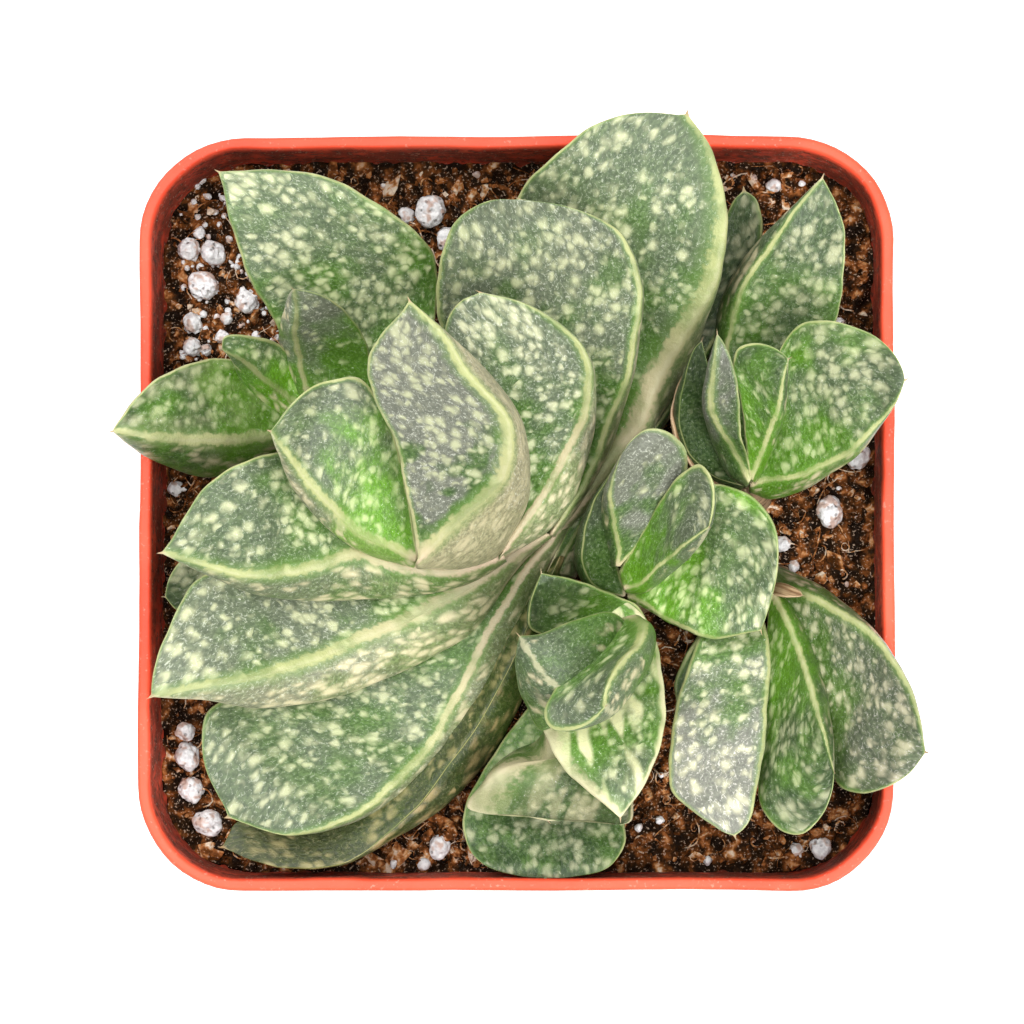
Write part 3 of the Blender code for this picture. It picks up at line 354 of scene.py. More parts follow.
def build_pot():
    """The moulded shell from the outer foot up over the rim and down inside, with its drain holes cut."""
    ledge = RIM_HEIGHT - COLLAR_HEIGHT
    inner = RIM_SIDE - 2 * RIM_WIDTH
    low_inner = LEDGE_SIDE - 2 * WALL
    profile = [
        (FOOT_SIDE - 3.0, FOOT_CORNER - 1.5, 0.0), (FOOT_SIDE - 1.6, FOOT_CORNER - 0.8, 0.0),
        (FOOT_SIDE - 0.6, FOOT_CORNER - 0.3, 0.15), (FOOT_SIDE - 0.1, FOOT_CORNER - 0.05, 0.5)]
    # A thin foot ring, the tapered wall with a shallow ring moulded round it, and the step under the collar
    for step in range(15):
        t = step / 14
        swell = 0.18 if step in (6, 7) else 0.0
        profile.append((FOOT_SIDE + (LEDGE_SIDE - FOOT_SIDE) * t + swell,
                        FOOT_CORNER + (RIM_CORNER - 2.0 - FOOT_CORNER) * t, 0.9 + (ledge - 2.9) * t))
    profile += [
        (LEDGE_SIDE + 0.5, RIM_CORNER - 1.8, ledge - 1.5), (LEDGE_SIDE + 2.0, RIM_CORNER - 1.2, ledge - 0.9),
        (RIM_SIDE - 2.0, RIM_CORNER - 0.6, ledge - 0.35), (RIM_SIDE - 0.9, RIM_CORNER - 0.3, ledge - 0.1),
        (RIM_SIDE - 0.3, RIM_CORNER - 0.1, ledge + 0.2), (RIM_SIDE - 0.05, RIM_CORNER, ledge + 0.7)]
    profile += [(RIM_SIDE, RIM_CORNER, ledge + 0.7 + (COLLAR_HEIGHT - 1.4) * k / 5) for k in range(1, 5)]
    inner_corner = RIM_CORNER - RIM_WIDTH
    profile += [
        (RIM_SIDE, RIM_CORNER, RIM_HEIGHT - 0.55), (RIM_SIDE - 0.1, RIM_CORNER, RIM_HEIGHT - 0.22),
        (RIM_SIDE - 0.35, RIM_CORNER - 0.1, RIM_HEIGHT - 0.05),
        (RIM_SIDE - 0.8, RIM_CORNER - 0.3, RIM_HEIGHT), (inner + 0.7, inner_corner + 0.3, RIM_HEIGHT),
        (inner + 0.3, inner_corner, RIM_HEIGHT - 0.06), (inner, inner_corner, RIM_HEIGHT - 0.35)]
    inside_from = len(profile) - 1
    profile += [(inner - 0.2 - k / 8, inner_corner, RIM_HEIGHT - 0.35 - (COLLAR_HEIGHT - 2.4) * k / 8)
                for k in range(1, 9)]
    profile += [(low_inner, RIM_CORNER - 3.0, ledge - 1.6), (low_inner - 6, RIM_CORNER - 3.6, ledge - 22),
                (FOOT_SIDE - 2 * WALL + 1, FOOT_CORNER - WALL, FLOOR_THICKNESS + 2.0),
                (FOOT_SIDE - 2 * WALL, FOOT_CORNER - WALL, FLOOR_THICKNESS)]
    points, inner_wall = [], []
    for index, (side, corner, height) in enumerate(profile):
        for x, y in rounded_square(side, corner):
            # Thin walls wave a little: most at the rim, hardly at the foot
            loose = (height / RIM_HEIGHT) ** 3
            wave = wobble(x, y, 0.05, 3.0) * 0.45 + wobble(x, y, 0.2, 9.0) * 0.1
            out = Vector((x, y)).normalized() * wave * loose
            edge = wobble(x, y, 0.16, 20.0) * 0.16 if index >= inside_from - 2 else 0.0
            lift = wobble(x, y, 0.04, 40.0) * 0.3 * loose
            points.append((x + out.x + edge * np.sign(x), y + out.y + edge * np.sign(y), height + lift))
            inner_wall.append(1.0 if index > inside_from else 0.0)
    faces = tube_faces(len(profile), len(points) // len(profile), True, True)
    pot = add_mesh("coral_pot", points, faces, make_pot_plastic(), "pot")
    set_floats(pot, "inner_wall", inner_wall)
    drills = []
    for x in (-DRAIN_OFFSET, DRAIN_OFFSET):
        for y in (-DRAIN_OFFSET, DRAIN_OFFSET):
            bm = bmesh.new()
            bmesh.ops.create_cone(bm, cap_ends=True, segments=40, radius1=DRAIN_RADIUS * MM,
                                  radius2=DRAIN_RADIUS * MM, depth=DRILL_LENGTH * MM)
            bmesh.ops.translate(bm, verts=bm.verts, vec=(x * MM, y * MM, 0))
            mesh = bpy.data.meshes.new("drill")
            bm.to_mesh(mesh)
            bm.free()
            drill = bpy.data.objects.new("drill", mesh)
            bpy.context.scene.collection.objects.link(drill)
            cut = pot.modifiers.new("drain_hole", "BOOLEAN")
            cut.operation, cut.solver, cut.object = "DIFFERENCE", "MANIFOLD", drill
            drills.append(drill)
    graph = bpy.context.evaluated_depsgraph_get()
    pot.data = bpy.data.meshes.new_from_object(pot.evaluated_get(graph), preserve_all_data_layers=True,
                                               depsgraph=graph)
    pot.modifiers.clear()
    for drill in drills:
        bpy.data.objects.remove(drill, do_unlink=True)


build_pot()

# Potting mix
# The pot is filled to 10 mm under the rim with a coarse bark and peat mix: dark crumbs, red-brown bark
# chips, tan fibres, and white perlite grains, puffed volcanic glass, that lie in it and on it.
SOIL_HEIGHT = 70.2
SOIL_SIDE = 87.2
SOIL_ROUGHNESS = 0.35
SOIL_STEPS = 240
CRUMBS = 4600
CHIPS = 900
FIBRES = 800
PERLITE_CRUMBS = 90
NORTH_WEST_CRUMBS = 130
# Below its top the block follows the pot's inner wall, just clear of it: side and height of each ring
SOIL_LOWER_RINGS = ((84.0, 68.6), (81.2, 66.2), (75.2, 46.0), (62.0, 3.8), (61.0, FLOOR_THICKNESS + 0.2))
# Each perlite grain that the photograph shows: x, y and diameter
PERLITE = [
    (-10.5, 37.0, 4.1), (-8.5, 33.5, 2.9), (-38.0, 28.0, 3.4), (-40.0, 32.5, 2.7), (-37.0, 32.0, 3.0),
    (-33.0, 26.0, 2.7), (-39.5, 23.5, 2.7), (-39.5, 20.5, 2.2), (-40.0, -26.0, 2.3), (-40.0, -29.0, 3.4),
    (-39.5, -33.0, 2.9), (-37.5, -37.0, 3.3), (-9.5, -40.0, 2.7), (41.0, 7.0, 3.1), (37.5, 0.5, 3.8),
    (32.0, -3.5, 2.2), (33.5, -40.5, 2.2), (36.5, -40.0, 2.5), (-13.5, 36.5, 2.0), (31.0, 40.0, 1.8),
    (-37.8, 20.2, 1.5), (-38.6, 34.4, 1.5), (-35.3, 24.1, 1.5), (-35.8, 21.8, 1.7), (-31.8, 21.8, 1.3),
    (-41.4, 3.4, 2.0), (-14.8, -42.0, 1.3), (-11.3, -42.0, 1.5), (33.4, -6.2, 1.5), (37.4, -10.0, 1.2),
    (22.9, -41.6, 1.2), (17.1, -36.7, 1.1), (14.6, -37.6, 1.0), (28.6, 41.0, 1.0), (34.4, 40.2, 1.0),
    (38.9, 23.4, 1.1), (-33.4, 37.0, 0.9), (-25.0, 41.0, 1.0), (-5.0, 41.5, 0.9), (2.0, 40.0, 1.1),
]


def soil_height(x, y):
    lumps = (sin(0.71 * x + 1.3) * cos(0.83 * y) + 0.8 * sin(1.9 * x + 0.6 * y) * cos(1.7 * y - 0.5 * x)
             + 0.5 * sin(2.9 * x - 2.1 * y))
    clods = noise.fractal(Vector((x * 0.22, y * 0.22, 5.0)), 0.9, 2.1, 5)
    return SOIL_HEIGHT + SOIL_ROUGHNESS * lumps + clods * 0.9


def make_potting_mix():
    """Peat and bark: near-black hollows, red-brown and tan bits, a wet glint on some of them."""
    material, tree, shader = new_material("potting_mix", Specular_IOR_Level=0.08)
    grain, cloud = use_grain(place_in_mm(tree), 3.2, 0.8)
    shade = carried(tree, "shade") + ramp(cloud, 0.3, 0.7, -0.28, 0.28)
    tint = add_node(tree, "ShaderNodeValToRGB", {"Fac": shade})
    stops = ((0.0, (0.01, 0.004, 0.001)), (0.26, (0.03, 0.012, 0.003)), (0.5, (0.14, 0.045, 0.01)),
             (0.68, (0.36, 0.125, 0.036)), (0.84, (0.63, 0.32, 0.13)), (1.0, (0.85, 0.7, 0.54)))
    tint.color_ramp.elements[0].color = (*stops[0][1], 1.0)
    tint.color_ramp.elements[1].color = (*stops[-1][1], 1.0)
    for position, colour in stops[1:-1]:
        tint.color_ramp.elements.new(position).color = (*colour, 1.0)
    colour = blend(ramp(grain, 0.62, 0.68, 0.0, 0.6), Signal(tint.outputs["Color"]), (0.62, 0.46, 0.34))
    finish_skin(shader, colour, grain, 0.7, 0.0005, ramp(cloud, 0.3, 0.7, 0.35, 0.85))
    return material


def build_soil(material):
    """The block of mix: a lumpy top, in a grid whose corners are drawn in, over plain sides and a foot."""
    half = SOIL_SIDE / 2
    points, shades = [], []
    for row in range(SOIL_STEPS + 1):
        v = 2 * row / SOIL_STEPS - 1
        for column in range(SOIL_STEPS + 1):
            u = 2 * column / SOIL_STEPS - 1
            x = half * u * (1 - 0.078 * v ** 8)
            y = half * v * (1 - 0.078 * u ** 8)
            jitter = wobble(x, y, 1.7, 70.0)
            points.append((x + 0.12 * jitter, y - 0.12 * jitter, soil_height(x, y)))
            shades.append(0.3 + 0.7 * wobble(x, y, 0.6, 1.0))
    width = SOIL_STEPS + 1
    faces = [(r * width + c, r * width + c + 1, (r + 1) * width + c + 1, (r + 1) * width + c)
             for r in range(SOIL_STEPS) for c in range(SOIL_STEPS)]
    border = ([c for c in range(width)] + [r * width + SOIL_STEPS for r in range(1, width)]
              + [SOIL_STEPS * width + c for c in range(SOIL_STEPS - 1, -1, -1)]
              + [r * width for r in range(SOIL_STEPS - 1, 0, -1)])
    last = border
    for side, height in SOIL_LOWER_RINGS:
        scale = side / SOIL_SIDE
        ring = []
        for k in border:
            ring.append(len(points))
            points.append((points[k][0] * scale, points[k][1] * scale, height))
            shades.append(0.3)
        faces += [(last[k - 1], ring[k - 1], ring[k], last[k]) for k in range(len(ring))]
        last = ring
    faces.append(tuple(reversed(last)))
    soil = add_mesh("potting_mix_bed", points, faces, material, "soil")
    set_floats(soil, "shade", shades)


def random_soil_point(chance):
    reach = SOIL_SIDE / 2 - 1.6
    while True:
        x, y = chance.uniform(-reach, reach), chance.uniform(-reach, reach)
        over = max(abs(x) - reach + 10, 0) ** 2 + max(abs(y) - reach + 10, 0) ** 2
        if over < 100:
            return x, y


def scatter_bits(name, count, sizes, flatness, material, chance, shades):
    """Angular crumbs or chips, each the hull of a few random points, lying any way up on the mix."""
    points, faces, tones = [], [], []
    for _ in range(count):
        x, y = random_soil_point(chance)
        size = chance.uniform(*sizes) * chance.uniform(0.6, 1.0)
        shape = Vector((size * chance.uniform(0.35, 0.7), size * chance.uniform(0.25, 0.45), size * flatness))
        turn = Matrix.Rotation(chance.uniform(0, 2 * pi), 3, "Z")
        for axis in "XY":
            turn = turn @ Matrix.Rotation(chance.gauss(0, 0.4), 3, axis)
        place = Vector((x, y, soil_height(x, y) + size * flatness * chance.uniform(0.1, 0.9)))
        bm = bmesh.new()
        for _ in range(chance.randint(9, 13)):
            corner = Vector((chance.uniform(-1, 1), chance.uniform(-1, 1), chance.uniform(-1, 1)))
            corner = corner / max(abs(corner.x), abs(corner.y), abs(corner.z)) * chance.uniform(0.8, 1.0)
            bm.verts.new(place + turn @ Vector((corner.x * shape.x, corner.y * shape.y, corner.z * shape.z)))
        bmesh.ops.convex_hull(bm, input=bm.verts)
        bm.verts.index_update()
        first = len(points)
        points += [v.co[:] for v in bm.verts]
        faces += [tuple(first + v.index for v in face.verts) for face in bm.faces]
        tones += [chance.triangular(*shades)] * len(bm.verts)
        bm.free()
    bits = add_mesh(name, points, faces, material)
    bits.data.polygons.foreach_set("use_smooth", [False] * len(faces))
    set_floats(bits, "shade", tones)


def scatter_fibres(name, count, material, chance):
    """Thin curled fibres and rootlets that lie over the mix."""
    points, faces, tones = [], [], []
    for _ in range(count):
        x, y = random_soil_point(chance)
        heading = chance.uniform(0, 2 * pi)
        length, thick, curl = chance.uniform(1.5, 6.0), chance.uniform(0.04, 0.11), chance.gauss(0, 0.45)
        tone = chance.triangular(0.5, 1.0, 0.8)
        first = len(points)
        for step in range(9):
            z = soil_height(x, y) + 0.25 + 0.35 * sin(pi * step / 8)
            for k in range(4):
                angle = pi / 2 * k
                points.append((x - sin(heading) * cos(angle) * thick, y + cos(heading) * cos(angle) * thick,
                               z + sin(angle) * thick))
                tones.append(tone)
            heading += curl + chance.gauss(0, 0.2)
            x += cos(heading) * length / 8
            y += sin(heading) * length / 8
            limit = SOIL_SIDE / 2 - 1.2
            x, y = min(max(x, -limit), limit), min(max(y, -limit), limit)
        faces += [tuple(first + i for i in face) for face in tube_faces(9, 4, True, True)]
    fibres = add_mesh(name, points, faces, material)
    set_floats(fibres, "shade", tones)


def make_perlite_white():
    """Puffed glass: white with a faint blue shade, open bubbles as pits in painted shade, brown dust in the
    dents.
    """
    material, tree, shader = new_material("perlite_white", Roughness=0.8)
    place = place_in_mm(tree)
    grain, cloud = use_grain(place, 2.0, 0.55)
    pits = new_signal(tree, "ShaderNodeTexVoronoi", "Distance", {"Vector": place, "Scale": 0.95})
    pit = ramp(pits, 0.1, 0.26, 1.0, 0.0)
    white = blend(ramp(grain, 0.3, 0.7), (0.74, 0.73, 0.73), (0.95, 0.94, 0.93))
    dusty = blend(ramp(cloud, 0.5, 0.62, 0.0, 0.7), white, (0.5, 0.27, 0.17))
    # Painted shade: the pits are darkened for the shade that falls inside the open bubbles
    colour = blend(pit * 0.6, dusty, (0.12, 0.09, 0.08))
    finish_skin(shader, colour, grain - pit, 0.6, 0.0004)
    return material


def build_perlite(chance):
    """The white grains of the photograph and smaller ones among them: swollen balls with open pits."""
    bm = bmesh.new()
    crumbs = [(*random_soil_point(chance), chance.uniform(0.4, 0.8)) for _ in range(PERLITE_CRUMBS)]
    crumbs += [(chance.uniform(-41, -28), chance.uniform(19, 41), chance.uniform(0.4, 1.0))
               for _ in range(NORTH_WEST_CRUMBS)]
    for x, y, diameter in PERLITE + crumbs:
        before = len(bm.verts)
        steps = 4 if diameter > 2 else 3 if diameter > 1 else 2
        bmesh.ops.create_icosphere(bm, subdivisions=steps, radius=1.0)
        bm.verts.ensure_lookup_table()
        seed = Vector((chance.uniform(0, 99), chance.uniform(0, 99), chance.uniform(0, 99)))
        stretch = Vector((chance.uniform(0.88, 1.08), chance.uniform(0.88, 1.08), chance.uniform(0.75, 0.95)))
        place = Vector((x, y, soil_height(x, y) + 0.25 * diameter))
        for v in bm.verts[before:]:
            swell = 1.0 + 0.3 * noise.noise(v.co * 0.9 + seed) + 0.13 * noise.noise(v.co * 2.6 + seed)
            pit = max(1.0 - noise.voronoi(v.co * 1.6 + seed)[0][0] * 2.6, 0.0)
            v.co = place + v.co * stretch * (diameter / 2 * swell * (1.0 - 0.35 * pit))
    bm.verts.index_update()
    points = [v.co[:] for v in bm.verts]
    faces = [tuple(v.index for v in face.verts) for face in bm.faces]
    bm.free()
    add_mesh("perlite_grains", points, faces, make_perlite_white())


potting_mix = make_potting_mix()
soil_chance = random.Random(7)
build_soil(potting_mix)
scatter_bits("soil_crumbs", CRUMBS, (0.5, 1.7), 0.3, potting_mix, soil_chance, (0.0, 1.0, 0.3))
scatter_bits("bark_chips", CHIPS, (1.5, 4.2), 0.13, potting_mix, soil_chance, (0.1, 1.0, 0.5))
scatter_fibres("soil_fibres", FIBRES, potting_mix, soil_chance)
build_perlite(soil_chance)

# Main rosette
# Ten thick, stiff leaves in two ranks, north east and south west, the youngest highest. Each is a fleshy
# keeled tongue with a smooth waxy skin, grey green with cream spots, and a horny pale margin.
LINE_STEPS = 400
LEAF_END = 0.994
FULL_DETAIL_LENGTH = 50.0
MARGIN_ROUNDING = 0.9
KEEL_ROUNDING = 1.2
FILLET_POINTS = 5


def smooth_curve(points, fractions):
    """Points at these fractions of the length of a smooth curve through the given ones."""
    p = [np.array(q, float) for q in points]
    p = [2 * p[0] - p[1]] + p + [2 * p[-1] - p[-2]]
    dense = []
    for a, b, c, d in zip(p, p[1:], p[2:], p[3:]):
        t0 = 0.0
        t1 = t0 + np.linalg.norm(b - a) ** 0.5
        t2 = t1 + np.linalg.norm(c - b) ** 0.5
        t3 = t2 + np.linalg.norm(d - c) ** 0.5
        t = np.linspace(t1, t2, 24, endpoint=False)[:, None]
        ab = a * (t1 - t) / (t1 - t0) + b * (t - t0) / (t1 - t0)
        bc = b * (t2 - t) / (t2 - t1) + c * (t - t1) / (t2 - t1)
        cd = c * (t3 - t) / (t3 - t2) + d * (t - t2) / (t3 - t2)
        abc = ab * (t2 - t) / (t2 - t0) + bc * (t - t0) / (t2 - t0)
        bcd = bc * (t3 - t) / (t3 - t1) + cd * (t - t1) / (t3 - t1)
        dense.append(abc * (t2 - t) / (t2 - t1) + bcd * (t - t1) / (t2 - t1))
    dense = np.concatenate(dense + [p[-2][None]])
    run = np.concatenate([[0], np.cumsum(np.linalg.norm(np.diff(dense, axis=0), axis=1))])
    wanted = np.asarray(fractions) * run[-1]
    return np.stack([np.interp(wanted, run, dense[:, axis]) for axis in range(3)], axis=1)


class Leaf:
    """One leaf, given by its left margin, right margin and keel: points from the base on, before the tip.

    hollow is the depth of the trough along its upper face, and pale is the width of the pale margin at the
    left and the right. grey, fresh and spots say how much the skin turns grey towards the tip, bright
    green towards the base, and how thickly it is spotted. clasp is how far up the pink of the base runs,
    cream how much of it is streaked, flank how pale its flanks are, partly painted light on flanks that lie
    in shade, and tint how light and warm it is, partly its own tone and partly painted light and shade:
    above 1 it lightens a leaf that lies in shade, and below 1 it darkens a leaf with painted shade.
    """

    def __init__(self, name, tip, left, right, keel, hollow=0.3, pale=(0.3, 0.3), grey=0.3, fresh=0.4,
                 spots=0.6, cream=0.0, clasp=0.0, flank=0.0, tint=1.0):
        self.name = name
        fractions = np.linspace(0, 1, LINE_STEPS + 1)
        self.lines = [smooth_curve(line + [tip], fractions) for line in (left, right, keel)]
        self.half_width = np.linalg.norm(self.lines[0] - self.lines[1], axis=1).max() / 2
        self.hollow, self.pale, self.clasp = hollow, pale, clasp
        self.grey, self.fresh, self.spots, self.cream = grey, fresh, spots, cream
        self.flank, self.tint = flank, tint

    def length(self):
        return np.linalg.norm(np.diff(self.lines[2], axis=0), axis=1).sum()

    def slice(self, u):
        """The middle of the upper face, the directions across and out of it, the corners and the width."""
        k = min(int(u * LINE_STEPS), LINE_STEPS - 1)
        left, right, keel = (line[k] + (line[k + 1] - line[k]) * (u * LINE_STEPS - k) for line in self.lines)
        half = np.linalg.norm(right - left) / 2
        point = (left + right) / 2
        side = (right - left) / max(half * 2, 1e-9)
        across = (keel - point) @ side
        down = keel - point - side * across
        deep = max(np.linalg.norm(down), 1e-6)
        corners = [np.array((-half, 0)), np.array((half, 0)), np.array((across, -deep))]
        return point, side, -down / deep, corners, half / self.half_width


def arc(a, b, sink, s):
    """Points at the fractions s on the arc from a to b that sinks by this much to the right of its travel."""
    d = b - a
    normal = np.array((d[1], -d[0])) / max(np.linalg.norm(d), 1e-9)
    control = (a + b) / 2 + normal * 2 * sink
    s = np.asarray(s)[:, None]
    return a * (1 - s) ** 2 + control * (2 * s * (1 - s)) + b * s ** 2


def leaf_section(corners, sinks, counts):
    """Closed ring round a leaf: three arcs, with the two margins and the keel rounded off between them."""
    ring, marks = [], []
    lengths = [np.linalg.norm(corners[(i + 1) % 3] - corners[i]) for i in range(3)]
    rounds = (MARGIN_ROUNDING, MARGIN_ROUNDING, KEEL_ROUNDING)
    trims = [min(rounds[i], 0.32 * min(lengths[i], lengths[i - 1])) for i in range(3)]
    for i in range(3):
        a, b, c = corners[i], corners[(i + 1) % 3], corners[(i + 2) % 3]
        start = trims[i] / max(lengths[i], 1e-9)
        end = 1 - trims[(i + 1) % 3] / max(lengths[i], 1e-9)
        ring.append(arc(a, b, sinks[i], np.linspace(start, end, counts[i])))
        p = ring[-1][-1]
        q = arc(b, c, sinks[(i + 1) % 3], [trims[(i + 1) % 3] / max(lengths[(i + 1) % 3], 1e-9)])[0]
        s = np.linspace(0, 1, FILLET_POINTS + 2)[1:-1][:, None]
        marks.append(sum(len(part) for part in ring) + FILLET_POINTS // 2)
        ring.append(p * (1 - s) ** 2 + b * (2 * s * (1 - s)) + q * s ** 2)
    return np.concatenate(ring), marks


def leaf_mesh(leaf, seed):
    """Points and faces of one leaf, its pattern coordinates, and each point's distances for the skin.

    The distances are to the margin, in widths of its pale band and below 0 under the leaf, to the keel in
    millimetres, and from the base in lengths of the leaf.
    """
    size = min(max(leaf.length() / FULL_DETAIL_LENGTH, 0.35), 1.0)
    stations = int(44 + 66 * size)
    counts = [int(9 + 16 * size), int(7 + 8 * size), int(7 + 10 * size)]
    rng = np.random.default_rng(seed)
    phases = rng.uniform(0, 2 * pi, 12)
    points, places, edges = [], [], []
    along_mm = pattern_mm = 0.0
    last = None
    for k in range(stations):
        u = LEAF_END * (1 - (1 - k / (stations - 1)) ** 1.15)
        point, side, face, corners, w = leaf.slice(u)
        if last is not None:
            step = np.linalg.norm(point - last)
            along_mm += step
            pattern_mm += step * (1 - 0.45 * min(max((u - 0.55) / 0.4, 0), 1))
        last = point
        # The margins and the keel wave a little
        calm = min(1.0, w * 2)
        wave = [calm * (0.1 * sin(along_mm * 0.6 + phases[i]) + 0.04 * sin(along_mm * 1.7 + phases[i + 1]))
                for i in range(0, 10, 2)]
        corners = [corners[0] + wave[0:2], corners[1] + wave[2:4], corners[2] + (0, wave[4])]
        spans = [np.linalg.norm(corners[(i + 1) % 3] - corners[i]) for i in range(3)]
        sinks = (leaf.hollow * w, -0.1 * spans[1], -0.12 * spans[2])
        ring, marks = leaf_section(corners, sinks, counts)
        steps = np.linalg.norm(np.roll(ring, -1, axis=0) - ring, axis=1)
        run = np.concatenate([[0], np.cumsum(steps)])[:-1]
        total = steps.sum()

        def gap_to(mark):
            d = np.abs(run - run[mark])
            return np.minimum(d, total - d)

        right_gap, keel_gap, left_gap = (gap_to(mark) for mark in marks)
        top = np.zeros(len(ring), bool)
        top[:marks[0] + 1] = True
        top[marks[2]:] = True
        edge = np.minimum(left_gap / leaf.pale[0], right_gap / leaf.pale[1])
        edges.append(np.stack([np.where(top, edge, -edge), keel_gap, np.full(len(ring), u)], axis=1))
        # Low dents in the flesh, so that the skin catches the light unevenly
        dent = 0.09 * (np.sin(0.55 * along_mm + phases[9] + 0.4 * ring[:, 0])
                       * np.sin(0.5 * ring[:, 0] + phases[10]))
        lifted = ring[:, 1] + dent * calm
        points.append(point + side * ring[:, :1] + face * lifted[:, None])
        places.append(np.stack([np.full(len(ring), pattern_mm), ring[:, 0], ring[:, 1]], axis=1))
    sides = len(points[0])
    # A short horny point ends the leaf
    centre = points[-1].mean(axis=0)
    along = centre - points[-4].mean(axis=0)
    along /= np.linalg.norm(along)
    for reach, narrow in ((0.35, 0.55), (0.75, 0.12)):
        points.append(centre + along * reach + (points[-1] - points[-1].mean(axis=0)) * narrow)
        places.append(places[-1] + (reach, 0, 0))
        edges.append(edges[-1] * (1, 1, 0) + (0, 0, 1.0))
    rings = len(points)
    points, places, edges = (np.concatenate(part) for part in (points, places, edges))
    return points, tube_faces(rings, sides, True, True), places + rng.uniform(0, 400, 3), edges


def set_vectors(piece, name, values):
    piece.data.attributes.new(name, "FLOAT_VECTOR", "POINT").data.foreach_set(
        "vector", np.asarray(values, np.float32).ravel())


def add_leaf_spots_group():
    """Node group: soft-edged cream spots in loose rows across the leaf, from the place on it in mm."""
    group, given = new_group("leaf_spots", "Place", {"Amount": 0.6}, ("Spots",))
    place = given["Place"]
    ragged = new_signal(group, "ShaderNodeTexNoise", "Color", {"Vector": place, "Scale": 1.15, "Detail": 0.0})
    push = ragged.vector("SUBTRACT", (0.5, 0.5, 0.5)).vector("SCALE", 0.85)
    warped = place.vector("ADD", push)
    rows = noise_at(warped.vector("MULTIPLY", (0.3, 0.09, 0.09)), 1.0, 0.0)
    room = given["Amount"] + ramp(rows, 0.32, 0.68, -0.36, 0.32)
    spots = []
    for size, share in ((1.85, 1.0), (1.3, 0.9)):
        shifted = warped.vector("ADD", (31.0 * size, 17.0, 5.0 * size))
        cell = add_node(group, "ShaderNodeTexVoronoi", {
            "Vector": shifted, "Scale": 1 / size, "Randomness": 0.85}).outputs
        dot = calc("POWER", ramp(Signal(cell["Distance"]), 0.61, 0.1), 1.4)
        pick = new_signal(group, "ShaderNodeSeparateColor", "Red", {"Color": Signal(cell["Color"])})
        spots.append(dot * ramp(room - pick, -0.1, 0.14, 0.0, share))
    add_node(group, "NodeGroupOutput", {"Spots": calc("MAXIMUM", *spots)})
    return group


def three_parts(vector):
    node = add_node(vector.tree, "ShaderNodeSeparateXYZ", {"Vector": vector})
    return [Signal(socket) for socket in node.outputs]


